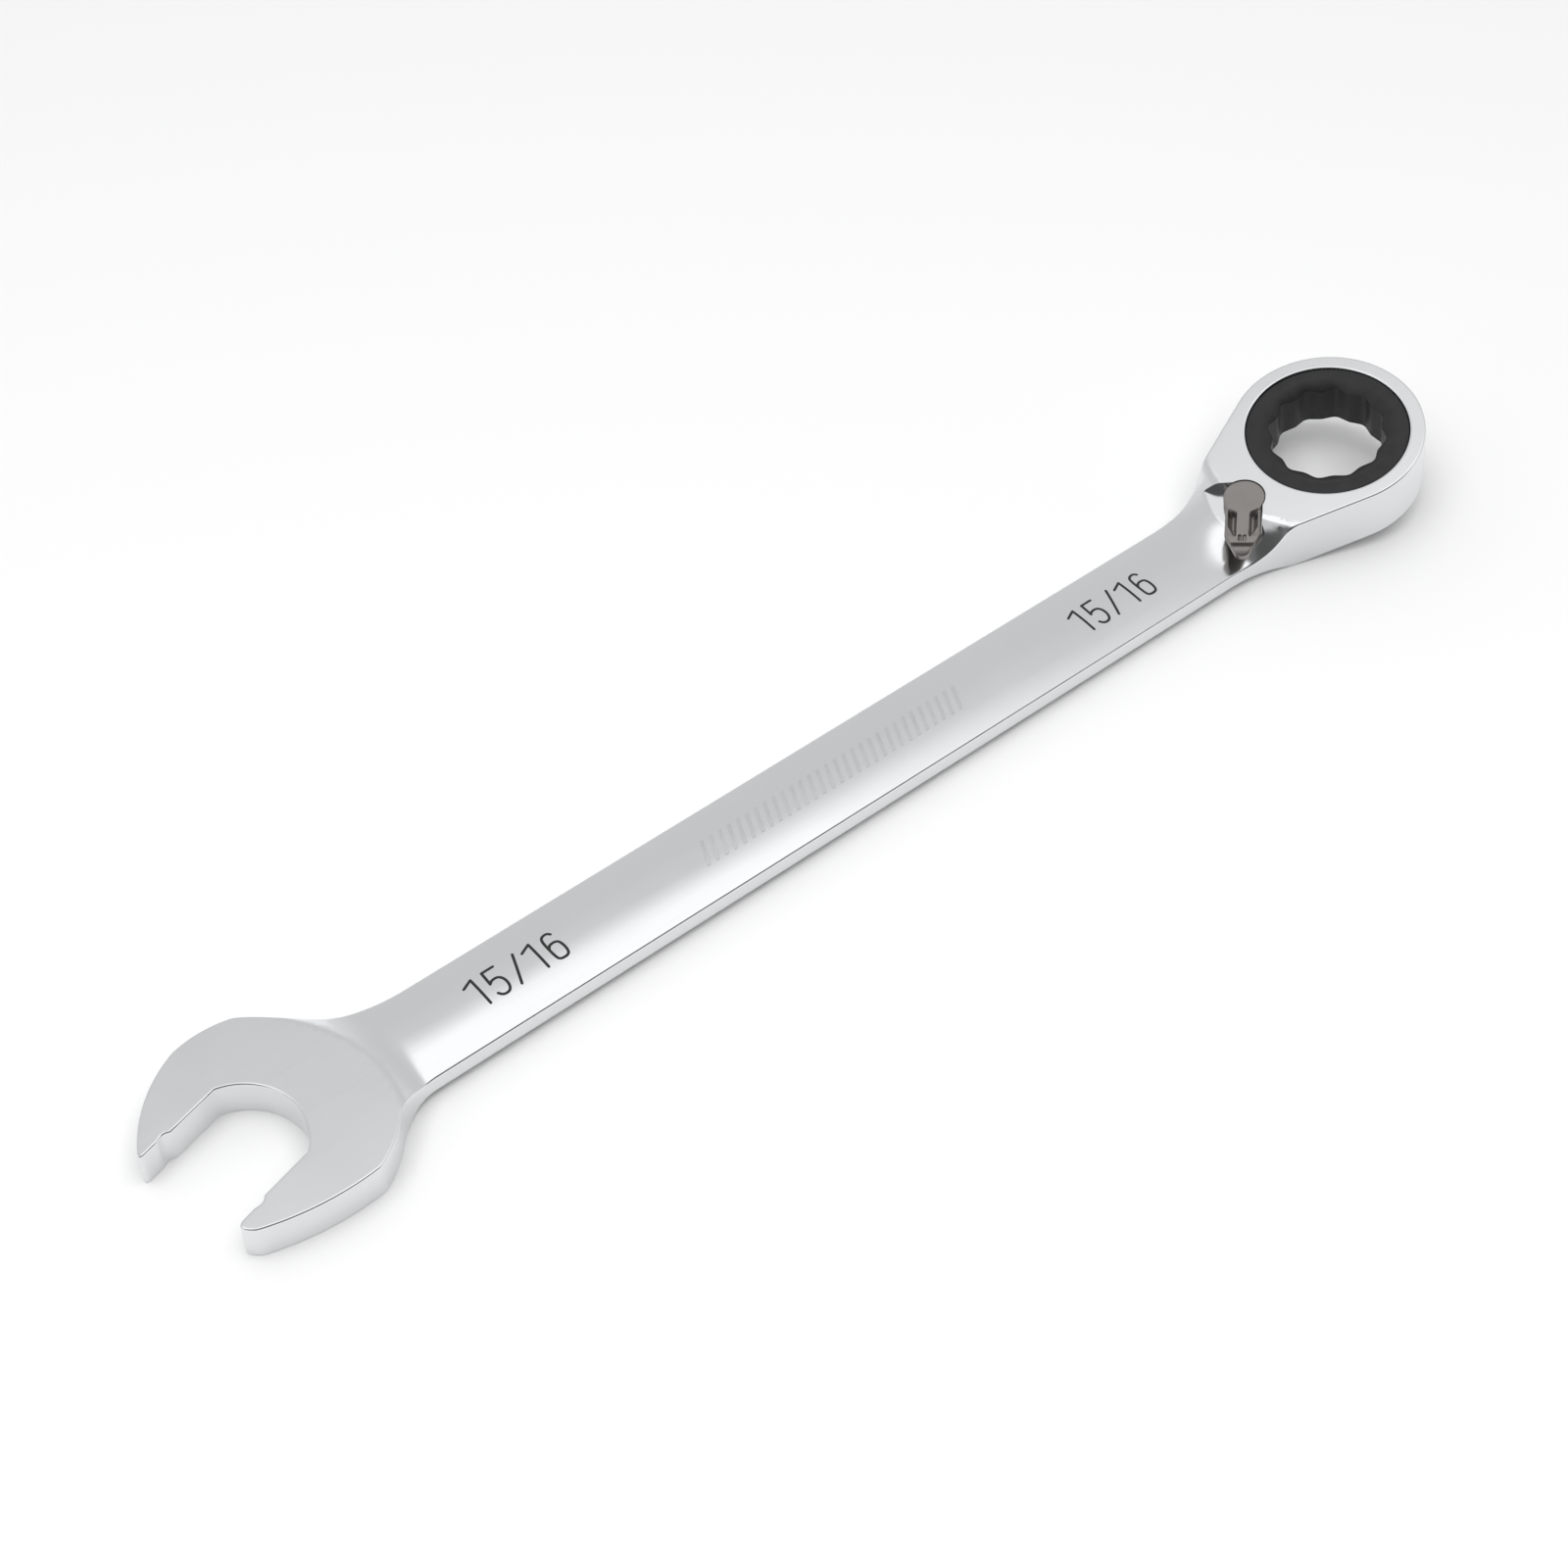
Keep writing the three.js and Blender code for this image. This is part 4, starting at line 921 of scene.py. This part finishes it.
def lever_top(x, y):
    """Height of the lever's upper face: a flat head and rib, a scoop each side, and a grip."""
    aside = np.abs(y)
    start = np.sqrt(np.maximum(24 - aside ** 2, 4)) - 0.4
    part = np.clip((x - start) / (SCOOP_END - start), 0, 1)
    width = SCOOP_WIDTH * (1 - 0.7 * smooth_step(0.55, 1, part))
    across = np.clip((aside - RIB_HALF_WIDTH) / width, 0, 1)
    along = smooth_step(0, 0.12, part) * (1 - smooth_step(0.82, 1, part))
    scoop = SCOOP_DEPTH * along * np.sin(np.pi * across ** 0.75) ** 0.8
    rail = (0.18 * smooth_step(RIB_HALF_WIDTH, RIB_HALF_WIDTH + 0.3, aside)
            + 0.4 * smooth_step(3.3, 4.2, aside)) * along
    notch = np.zeros_like(x)
    for middle in (-0.55, 0.55):
        within = 1 - smooth_step(0.22, 0.34, np.abs(y - middle))
        length_on = smooth_step(10.9, 11.1, x) * (1 - smooth_step(12.7, 12.9, x))
        notch = np.maximum(notch, within * length_on)
    step = 0.75 * np.exp(-((x - 13.9) / 0.42) ** 2)
    nose = 0.9 * np.maximum(0, (x - 14.1) / 2.5) ** 2
    return -LEVER_FACE - scoop - rail - 0.45 * notch - step - nose


def lever_plate():
    """Vertices and faces of the lever's head and arm, about the lever's axis."""
    angles = np.concatenate([np.linspace(-0.42, 0.42, 90, endpoint=False),
                             np.linspace(0.42, 2 * math.pi - 0.42, 130, endpoint=False)])
    reach = arm_reach((angles + math.pi) % (2 * math.pi) - math.pi, 0)
    outline = without_short_steps(np.stack([reach * np.cos(angles), reach * np.sin(angles)], 1))
    normals = outward(outline)
    count = len(outline)
    edge = rounded_steps(0.22, 3)
    rim = outline - normals * edge[0][0]
    grid = np.mgrid[-5:17:0.19, -5:5:0.19].reshape(2, -1).T
    grid = grid[inside(grid, outline - normals * (edge[0][0] + 0.1))]
    grid = clear_of(grid, [rim], 0.13)
    edges = [(i, (i + 1) % count) for i in range(count)]
    plan, triangles, where = triangulated(np.concatenate([rim, grid]), edges,
                                          lambda centres: inside(centres, rim))
    rim_ids = [where[i] for i in range(count)]
    low = -LEVER_FACE - LEVER_THICKNESS
    vertices = [np.column_stack([plan, lever_top(plan[:, 0], plan[:, 1])]),
                np.column_stack([plan, np.full(len(plan), low)])]
    faces = [tuple(t) for t in triangles]
    faces += [tuple(t[::-1] + len(plan)) for t in triangles]
    total = 2 * len(plan)
    rings = [rim_ids]
    for inset, drop in edge[1:]:
        line = outline - normals * inset
        vertices.append(np.column_stack([line, lever_top(line[:, 0], line[:, 1]) - drop]))
        rings.append(list(range(total, total + count)))
        total += count
    for inset, drop in ((0, edge[-1][1]), (edge[0][0], 0)):
        line = outline - normals * inset
        if inset:
            rings.append([i + len(plan) for i in rim_ids])
        else:
            vertices.append(np.column_stack([line, np.full(count, low + drop)]))
            rings.append(list(range(total, total + count)))
            total += count
    for a, b in zip(rings, rings[1:]):
        for i in range(count):
            j = (i + 1) % count
            faces.append((a[i], b[i], b[j], a[j]))
    return np.concatenate(vertices) * MM, faces


def lever_stem():
    upper, lower = CLIP_DEPTHS
    neck = STEM_RADIUS - 0.6
    profile = [(STEM_RADIUS - 0.2, -STEM_DEPTH), (STEM_RADIUS, -STEM_DEPTH + 0.2),
               (STEM_RADIUS, -lower), (neck, -lower), (neck, -upper), (STEM_RADIUS, -upper),
               (STEM_RADIUS, -LEVER_THICKNESS + 0.6)]
    return lathe(profile, 64)


def ball_hole():
    vertices, faces = lathe([(BALL_HOLE_RADIUS, reach) for reach in BALL_HOLE_REACH], 32)
    turned = Matrix.Rotation(-math.pi / 2, 3, "Y")
    points = np.array([turned @ Vector(v) for v in vertices])
    return points + np.array([0, 0, -PAWL_MID_DEPTH * MM]), faces


# ---------------------------------------------------------------- marks on the shank

STROKES = {
    "1": [[(0.0, 0.84), (0.33, 1.0)], [(0.33, 1.0), (0.33, 0.0)]],
    "5": [[(0.42, 1.0), (0.03, 1.0)], [(0.03, 1.0), (0.0, 0.52)],
          [(0.0, 0.52), (0.1, 0.61), (0.32, 0.61), (0.43, 0.44), (0.43, 0.18), (0.32, 0.0),
           (0.1, 0.0), (0.0, 0.14)]],
    "/": [[(0.0, 0.0), (0.38, 1.0)]],
    "6": [[(0.36, 0.9), (0.28, 1.0), (0.08, 0.97), (0.0, 0.8), (0.0, 0.2), (0.06, 0.0), (0.36, 0.0),
           (0.43, 0.16), (0.43, 0.42), (0.36, 0.6), (0.1, 0.6), (0.02, 0.48)]],
}
STEP_WIDTHS = {"1": 0.68, "5": 0.72, "/": 0.6, "6": 0.7}
SIZE_MARKS = {"size_mark_jaw": (46.3, -4.5), "size_mark_ring": (210.3, -4.9)}  # station and across
SIZE_MARK_LIFT = 0.015
MARK_ROOT = 0.15                          # how far a mark reaches into the shank

HATCH_PLACE = (104.0, -4.2)               # station and across of the first bar's lower end
HATCH_HEIGHT = 6.2
HATCH_WIDTH = 1.2
HATCH_LIFT = 0.05
HATCH_PITCH = 2.4
HATCH_LEAN = math.radians(24)


def rounded_line(points, rounds=2):
    """Cuts the corners of a line of points, keeping its ends."""
    line = np.array(points, float)
    for _ in range(rounds):
        cut_line = [line[0]]
        for a, b in zip(line, line[1:]):
            cut_line += [a * 0.75 + b * 0.25, a * 0.25 + b * 0.75]
        line = np.array(cut_line + [line[-1]])
    return line


def evenly_spaced(line, step):
    """The same line with points an even step apart."""
    lengths = np.linalg.norm(np.diff(line, axis=0), axis=1)
    along = np.concatenate([[0], np.cumsum(lengths)])
    wanted = np.linspace(0, along[-1], max(3, int(along[-1] / step)))
    return np.stack([np.interp(wanted, along, line[:, 0]), np.interp(wanted, along, line[:, 1])], 1)


def size_mark(place, height, width):
    """Filled strokes of the size mark, laid on the shank's upper face."""
    vertices, faces = [], []
    cursor = 0.0
    for character in "15/16":
        for stroke in STROKES[character]:
            line = rounded_line(stroke, 2 if len(stroke) > 2 else 0) + (cursor, 0)
            line = evenly_spaced(line * height, 0.12) + place
            add_stroke(line, width, SIZE_MARK_LIFT, vertices, faces)
        cursor += STEP_WIDTHS[character]
    return np.concatenate(vertices), faces


def add_stroke(line, width, lift, vertices, faces):
    """A ribbon with round ends along a line, a thin closed slab that follows the surface."""
    ahead = np.gradient(line, axis=0)
    ahead /= np.linalg.norm(ahead, axis=1, keepdims=True)
    turns = np.array([1.4, 1.0, 0.5])
    reach = np.sin(turns)[:, None] * width / 2
    centre = np.concatenate([line[0] - ahead[0] * reach, line, line[-1] + ahead[-1] * reach[::-1]])
    heading = np.concatenate([ahead[[0, 0, 0]], ahead, ahead[[-1, -1, -1]]])
    half = np.concatenate([np.cos(turns), np.ones(len(line)), np.cos(turns)[::-1]]) * width / 2
    side = np.stack([-heading[:, 1], heading[:, 0]], 1) * half[:, None]
    add_slab(centre + side, centre - side, lift, vertices, faces)


def add_slab(left, right, lift, vertices, faces, narrowing=0.0):
    """A closed slab between two lines on the shank's upper face, from just below it to a lift. The
    narrowing is the share of its width that it loses towards the top."""
    first = sum(len(v) for v in vertices)
    count = len(left)
    inward = (right - left) * narrowing / 2
    for line, rise in ((left + inward, lift), (right - inward, lift), (right, -MARK_ROOT),
                       (left, -MARK_ROOT)):
        top, _ = body_heights(line[:, 0], line[:, 1])
        vertices.append(placed(line[:, 0], line[:, 1], top + rise))
    corners = [first + k * count for k in range(4)]
    for a, b in zip(corners, corners[1:] + corners[:1]):
        faces += [(a + i, a + i + 1, b + i + 1, b + i) for i in range(count - 1)]
    faces += [tuple(corners), tuple(corner + count - 1 for corner in corners)[::-1]]


def hatch_bar():
    """One raised slanting bar of the hatched field in the middle of the shank."""
    rise = np.linspace(0, HATCH_HEIGHT, 16)
    middle = np.stack([rise * math.tan(HATCH_LEAN), rise], 1) + HATCH_PLACE
    aside = (HATCH_WIDTH / 2, 0)
    vertices, faces = [], []
    add_slab(middle - aside, middle + aside, HATCH_LIFT, vertices, faces, narrowing=0.3)
    return np.concatenate(vertices), faces


# ---------------------------------------------------------------- materials

class Shader:
    """A material's node tree, with short calls for the nodes that the finishes share."""

    def __init__(self, name):
        self.material = bpy.data.materials.new(name)
        self.material.use_nodes = True
        self.tree = self.material.node_tree
        self.surface = self.tree.nodes["Principled BSDF"]
        self.place = self.add("ShaderNodeTexCoord").outputs["Object"]

    def add(self, kind, **settings):
        node = self.tree.nodes.new(kind)
        for key, value in settings.items():
            setattr(node, key, value)
        return node

    def link(self, source, target):
        self.tree.links.new(source, target)

    def fixed(self, **values):
        for key, value in values.items():
            self.surface.inputs[key.replace("_", " ")].default_value = value

    def stretched(self, turn=(0, 0, 0), scale=(1, 1, 1)):
        mapping = self.add("ShaderNodeMapping")
        mapping.inputs["Rotation"].default_value = turn
        mapping.inputs["Scale"].default_value = scale
        self.link(self.place, mapping.inputs["Vector"])
        return mapping.outputs[0]

    def noise(self, scale, detail=3.0, roughness=0.5, place=None):
        node = self.add("ShaderNodeTexNoise")
        node.inputs["Scale"].default_value = scale
        node.inputs["Detail"].default_value = detail
        node.inputs["Roughness"].default_value = roughness
        self.link(place or self.place, node.inputs["Vector"])
        return node.outputs["Fac"]

    def ranged(self, source, low, high, start=0.0, end=1.0):
        node = self.add("ShaderNodeMapRange")
        node.inputs["From Min"].default_value = start
        node.inputs["From Max"].default_value = end
        node.inputs["To Min"].default_value = low
        node.inputs["To Max"].default_value = high
        self.link(source, node.inputs["Value"])
        return node.outputs[0]

    def summed(self, first, second):
        node = self.add("ShaderNodeMath", operation="ADD")
        self.link(first, node.inputs[0])
        self.link(second, node.inputs[1])
        return node.outputs[0]

    def tinted(self, factor, first, second):
        node = self.add("ShaderNodeMix", data_type="RGBA")
        node.inputs[6].default_value = (*first, 1)
        node.inputs[7].default_value = (*second, 1)
        self.link(factor, node.inputs[0])
        return node.outputs[2]

    def bumped(self, height, distance, strength=1.0):
        node = self.add("ShaderNodeBump")
        node.inputs["Distance"].default_value = distance
        node.inputs["Strength"].default_value = strength
        self.link(height, node.inputs["Height"])
        self.link(node.outputs[0], self.surface.inputs["Normal"])


def chrome_finish(colour):
    """Bright chrome plate: soft swells left by polishing, faint wipe lines and light haze."""
    shader = Shader("chrome_plate")
    shader.fixed(Metallic=1.0)
    haze = shader.noise(38, 4)
    wipes = shader.noise(900, 2, place=shader.stretched(scale=(0.05, 1, 1)))
    darker = tuple(c * 0.965 for c in colour)
    shader.link(shader.tinted(haze, darker, colour), shader.surface.inputs["Base Color"])
    rough = shader.summed(shader.ranged(haze, 0.13, 0.19, 0.3, 0.7),
                          shader.ranged(wipes, -0.015, 0.02, 0.3, 0.7))
    shader.link(rough, shader.surface.inputs["Roughness"])
    swells = shader.summed(shader.ranged(shader.noise(55, 1), 0, 1), shader.ranged(wipes, 0, 0.06))
    shader.bumped(swells, 0.00003)
    return shader.material


def oxide_finish(colour):
    """Black oxide over turned steel: satin, with fine speckle and worn lighter patches."""
    shader = Shader("black_oxide")
    shader.fixed(Metallic=0.55, **{"Specular IOR Level": 0.5})
    patches = shader.noise(260, 5, 0.6)
    grain = shader.noise(5200, 3, 0.6)
    lighter = tuple(c * 1.9 for c in colour)
    mixed = shader.summed(shader.ranged(patches, 0, 0.5, 0.35, 0.75), shader.ranged(grain, 0, 0.5))
    shader.link(shader.tinted(mixed, colour, lighter), shader.surface.inputs["Base Color"])
    rough = shader.summed(shader.ranged(patches, 0.34, 0.46), shader.ranged(grain, -0.04, 0.06))
    shader.link(rough, shader.surface.inputs["Roughness"])
    shader.bumped(grain, 0.00001, 0.8)
    return shader.material


def satin_finish(name, colour, rough, grain_scale=(1, 1, 1), metallic=0.95):
    """Plated or ground steel with a directional grain."""
    shader = Shader(name)
    shader.fixed(Metallic=metallic)
    cloud = shader.noise(150, 4, 0.6)
    grain = shader.noise(3000, 3, 0.6, shader.stretched(scale=grain_scale))
    darker = tuple(c * 0.78 for c in colour)
    lighter = tuple(min(1, c * 1.12) for c in colour)
    mixed = shader.summed(shader.ranged(cloud, 0, 0.6), shader.ranged(grain, 0, 0.4))
    shader.link(shader.tinted(mixed, darker, lighter), shader.surface.inputs["Base Color"])
    uneven = shader.summed(shader.ranged(cloud, rough - 0.05, rough + 0.05),
                           shader.ranged(grain, -0.05, 0.05))
    shader.link(uneven, shader.surface.inputs["Roughness"])
    shader.bumped(grain, 0.000008, 0.8)
    return shader.material


def enamel_finish():
    """Black enamel wiped into the stamped size mark."""
    shader = Shader("black_enamel")
    speckle = shader.noise(2600, 4, 0.6)
    shader.link(shader.tinted(speckle, (0.004, 0.004, 0.004), (0.02, 0.02, 0.02)),
                shader.surface.inputs["Base Color"])
    shader.link(shader.ranged(speckle, 0.45, 0.65), shader.surface.inputs["Roughness"])
    shader.bumped(speckle, 0.00001)
    return shader.material


def floor_finish(colour):
    shader = Shader("pale_floor")
    tone = shader.noise(3, 2)
    shader.link(shader.tinted(tone, tuple(c * 0.995 for c in colour), colour),
                shader.surface.inputs["Base Color"])
    shader.fixed(Roughness=0.9, **{"Specular IOR Level": 0.1})
    return shader.material


# ---------------------------------------------------------------- user settings

def length(name, description, default):
    return bpy.props.FloatProperty(name=name, description=description, default=default * MM,
                                   min=0, precision=5, subtype="DISTANCE", unit="LENGTH")


def colour_of(name, description, default):
    return bpy.props.FloatVectorProperty(name=name, description=description, default=default,
                                         size=3, min=0, max=1, subtype="COLOR")


class WrenchBodySettings(bpy.types.PropertyGroup):
    edge_round: length("Edge round", "Radius along the body's outer edges", 0.3)
    bore_round: length("Bore round", "Radius of the ring's inner lip", 0.28)
    tip_round: length("Tip round", "Length over which the jaw tips are rounded", 1.5)
    chrome: colour_of("Chrome", "Colour of the chrome plate", (0.78, 0.79, 0.80))
    mark_height: length("Mark height", "Height of the size mark's figures", 7.1)
    mark_stroke: length("Mark stroke", "Width of the size mark's strokes", 0.62)
    etching: colour_of("Etching", "Colour of the hatching on the shank", (0.68, 0.685, 0.69))
    hatch_bars: bpy.props.IntProperty(name="Hatch bars", description="Raised bars along the shank",
                                      default=30, min=1, max=34)


class WrenchGearSettings(bpy.types.PropertyGroup):
    oxide: colour_of("Black oxide", "Colour of the ratchet gear", (0.02, 0.02, 0.021))
    teeth: bpy.props.IntProperty(name="Teeth", description="Teeth on the ratchet gear", default=90,
                                 min=12, max=200)


class WrenchLeverSettings(bpy.types.PropertyGroup):
    gunmetal: colour_of("Gunmetal", "Colour of the reversing lever", (0.303, 0.283, 0.270))
    steel: colour_of("Spring steel", "Colour of the snap rings and the spring", (0.42, 0.43, 0.44))


class WrenchStageSettings(bpy.types.PropertyGroup):
    floor: colour_of("Floor", "Colour of the floor", (0.85, 0.85, 0.85))
    power: bpy.props.FloatProperty(name="Overhead light", default=14.0, min=0, subtype="POWER",
                                   description="Power of the overhead softbox", unit="POWER")


# ---------------------------------------------------------------- operators

def wear(piece, material):
    piece.data.materials.clear()
    piece.data.materials.append(material)


class WRENCH_OT_body(bpy.types.Operator):
    """Builds the chrome body with its jaw, shank and ring"""
    bl_idname = "wrench.body"
    bl_label = "Body"

    def execute(self, context):
        sizes = context.scene.wrench_body
        body = new_piece("chrome_body", *body_mesh(sizes.edge_round / MM, sizes.bore_round / MM,
                                                   sizes.tip_round / MM))
        add_body_pockets(body)
        shade(body)
        wear(body, chrome_finish(tuple(sizes.chrome)))
        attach(body, "wrench")
        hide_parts("wrench_body")
        return {"FINISHED"}


class WRENCH_OT_marks(bpy.types.Operator):
    """Lays the black size marks and the raised hatching on the shank"""
    bl_idname = "wrench.marks"
    bl_label = "Size marks"

    def execute(self, context):
        sizes = context.scene.wrench_body
        enamel = enamel_finish()
        for name, place in SIZE_MARKS.items():
            shape = size_mark(place, sizes.mark_height / MM, sizes.mark_stroke / MM)
            mark = new_piece(name, *shape)
            point_outwards(mark)
            wear(mark, enamel)
            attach(mark, "wrench")
        etched = satin_finish("etched_chrome", tuple(sizes.etching), 0.34)
        hatching = new_piece("raised_hatching", *hatch_bar())
        point_outwards(hatching)
        repeated(hatching, sizes.hatch_bars, (HATCH_PITCH * MM, 0.0, 0.0), 0.0, etched)
        shade(hatching)
        wear(hatching, etched)
        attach(hatching, "wrench")
        return {"FINISHED"}


class WRENCH_OT_gear(bpy.types.Operator):
    """Builds the ratchet gear with its twelve-point socket"""
    bl_idname = "wrench.gear"
    bl_label = "Ratchet gear"

    def execute(self, context):
        settings = context.scene.wrench_gear
        oxide = oxide_finish(tuple(settings.oxide))
        rim = new_piece("gear_rim", *gear_shape())
        point_outwards(rim)
        teeth = new_piece("gear_teeth", *tooth_shape(settings.teeth))
        point_outwards(teeth)
        repeated(teeth, settings.teeth, (0.0, 0.0, 0.0), 2 * math.pi / settings.teeth, oxide)
        gear = joined("ratchet_gear", [rim, teeth])
        gear.data.transform(RING_FRAME)
        shade(gear, math.radians(35))
        wear(gear, oxide)
        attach(gear, "gear")
        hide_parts("drive_gear")
        return {"FINISHED"}


class WRENCH_OT_lever(bpy.types.Operator):
    """Builds the reversing lever and finishes the small parts inside the ring"""
    bl_idname = "wrench.lever"
    bl_label = "Reversing lever"

    def execute(self, context):
        settings = context.scene.wrench_lever
        plate = new_piece("lever_plate", *lever_plate())
        stem = new_piece("lever_stem_part", *lever_stem())
        hole = new_piece("hole_tool", *ball_hole())
        for piece in (plate, stem, hole):
            point_outwards(piece)
        cut(stem, [hole])
        lever = joined("lever_with_stem", [plate, stem])
        lever.data.transform(LEVER_FRAME)
        shade(lever)
        wear(lever, satin_finish("gunmetal", tuple(settings.gunmetal), 0.36))
        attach(lever, "lever")
        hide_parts("reversing_lever")
        steel = tuple(settings.steel)
        finishes = {
            "gear_snap_ring": satin_finish("ring_steel", steel, 0.3, (1, 1, 8)),
            "lever_snap_ring": satin_finish("clip_steel", steel, 0.32, (1, 1, 8)),
            "detent_spring": satin_finish("spring_steel", steel, 0.28),
            "pawl": satin_finish("pawl_steel", tuple(c * 0.5 for c in steel), 0.38, (1, 1, 0.1)),
            "detent_ball": satin_finish("ball_steel", tuple(c * 1.45 for c in steel), 0.12),
        }
        for node, finish in finishes.items():
            wear(frame["nodes"][node], finish)
        return {"FINISHED"}


# ---------------------------------------------------------------- floor, lights and camera

FLOOR_HALF_SIZE = 8.0
LIGHT_PLACE = (-0.25, -0.3, 1.2)
LIGHT_SIZE = (1.6, 1.2)
TENT_TONES = (                            # height of a direction, and how bright the tent is there
    (0.0, 0.85), (0.42, 0.72), (0.68, 0.70), (0.78, 0.74), (0.812, 0.69), (0.838, 0.85),
    (0.862, 0.97), (0.89, 1.3), (0.965, 1.3), (0.985, 0.66), (1.0, 0.6),
)
OPENING_DIRECTION = (-0.3, -0.855, 0.423)
OPENING_EDGE = (0.52, 0.62)               # cosines off that direction where it starts and is full
OPENING_TONE = 0.14
CAMERA_PLACE = (-0.26514, -0.29683, 0.45506)
CAMERA_TURN = (50.162, 48.903, 0.567)     # yaw, pitch and roll in degrees
CAMERA_LENS = 64.55


def camera_turn(yaw, pitch, roll):
    """A camera that looks along a yaw and down by a pitch, rolled about its own axis."""
    level = math.cos(pitch)
    ahead = Vector((math.cos(yaw) * level, math.sin(yaw) * level, -math.sin(pitch)))
    right = ahead.cross(Vector((0, 0, 1))).normalized()
    up = right.cross(ahead)
    rolled_right = math.cos(roll) * right + math.sin(roll) * up
    rolled_up = -math.sin(roll) * right + math.cos(roll) * up
    return Matrix((rolled_right, rolled_up, -ahead)).transposed()


def area_light(name, place, target, size, power):
    """A soft rectangular light that lights the object but does not show in its polish."""
    lamp = bpy.data.lights.new(name, "AREA")
    lamp.shape = "RECTANGLE"
    lamp.size, lamp.size_y = size
    lamp.energy = power
    light = bpy.data.objects.new(name, lamp)
    light.location = place
    light.rotation_euler = (Vector(target) - Vector(place)).to_track_quat("-Z", "Y").to_euler()
    light.visible_glossy = False
    bpy.context.scene.collection.objects.link(light)


def studio_world(scene):
    """A light tent with a bright band high up and a dim opening on the near side."""
    world = bpy.data.worlds.new("light_tent")
    world.use_nodes = True
    scene.world = world
    nodes, links = world.node_tree.nodes, world.node_tree.links
    background = nodes["Background"]
    place = nodes.new("ShaderNodeTexCoord")
    split = nodes.new("ShaderNodeSeparateXYZ")
    ramp = nodes.new("ShaderNodeValToRGB")
    links.new(place.outputs["Generated"], split.inputs[0])
    links.new(split.outputs["Z"], ramp.inputs[0])
    links.new(ramp.outputs[0], background.inputs[0])
    stops = ramp.color_ramp
    stops.interpolation = "LINEAR"
    while len(stops.elements) < len(TENT_TONES):
        stops.elements.new(0.5)
    for element, (position, tone) in zip(stops.elements, TENT_TONES):
        element.position = position
        element.color = (tone, tone * 1.002, tone * 1.003, 1)
    towards = nodes.new("ShaderNodeVectorMath")
    towards.operation = "DOT_PRODUCT"
    towards.inputs[1].default_value = OPENING_DIRECTION
    opening = nodes.new("ShaderNodeMapRange")
    opening.inputs["From Min"].default_value = OPENING_EDGE[0]
    opening.inputs["From Max"].default_value = OPENING_EDGE[1]
    opening.inputs["To Min"].default_value = 1.0
    opening.inputs["To Max"].default_value = OPENING_TONE
    links.new(place.outputs["Generated"], towards.inputs[0])
    links.new(towards.outputs["Value"], opening.inputs["Value"])
    links.new(opening.outputs[0], background.inputs[1])


class WRENCH_OT_stage(bpy.types.Operator):
    """Sets the floor, the lights and the camera"""
    bl_idname = "wrench.stage"
    bl_label = "Stage"

    def execute(self, context):
        settings = context.scene.wrench_stage
        half = FLOOR_HALF_SIZE
        corners = [(-half, -half, 0), (half, -half, 0), (half, half, 0), (-half, half, 0)]
        floor = new_piece("floor", corners, [(0, 1, 2, 3)])
        wear(floor, floor_finish(tuple(settings.floor)))
        studio_world(context.scene)
        area_light("overhead", LIGHT_PLACE, (0, 0, 0), LIGHT_SIZE, settings.power)
        camera = bpy.data.objects.new("camera", bpy.data.cameras.new("camera"))
        camera.data.sensor_width = 36
        camera.data.lens = CAMERA_LENS
        camera.data.clip_start = 0.01
        turn = camera_turn(*(math.radians(angle) for angle in CAMERA_TURN))
        camera.matrix_world = Matrix.Translation(CAMERA_PLACE) @ turn.to_4x4()
        context.scene.collection.objects.link(camera)
        context.scene.camera = camera
        context.scene.view_settings.view_transform = "Standard"
        context.scene.view_settings.look = "None"
        return {"FINISHED"}


OPERATORS = (WRENCH_OT_body, WRENCH_OT_marks, WRENCH_OT_gear, WRENCH_OT_lever, WRENCH_OT_stage)


class WRENCH_PT_panel(bpy.types.Panel):
    """Lists the steps that build the wrench"""
    bl_idname = "WRENCH_PT_panel"
    bl_label = "Ratcheting Wrench"
    bl_space_type = "VIEW_3D"
    bl_region_type = "UI"
    bl_category = "Wrench"

    def draw(self, context):
        scene = context.scene
        for operator in OPERATORS:
            self.layout.operator(operator.bl_idname)
        for group in SETTINGS:
            settings = getattr(scene, group)
            box = self.layout.box()
            for name in settings.bl_rna.properties.keys():
                if name not in ("rna_type", "name"):
                    box.prop(settings, name)


SETTINGS = {
    "wrench_body": WrenchBodySettings,
    "wrench_gear": WrenchGearSettings,
    "wrench_lever": WrenchLeverSettings,
    "wrench_stage": WrenchStageSettings,
}
CLASSES = (*SETTINGS.values(), *OPERATORS, WRENCH_PT_panel)


def register():
    for item in CLASSES:
        bpy.utils.register_class(item)
    for name, group in SETTINGS.items():
        setattr(bpy.types.Scene, name, bpy.props.PointerProperty(type=group))


def unregister():
    for name in SETTINGS:
        delattr(bpy.types.Scene, name)
    for item in reversed(CLASSES):
        bpy.utils.unregister_class(item)


def main():
    register()
    bpy.ops.wrench.body()
    bpy.ops.wrench.marks()
    bpy.ops.wrench.gear()
    bpy.ops.wrench.lever()
    bpy.ops.wrench.stage()


if __name__ == "__main__":
    main()
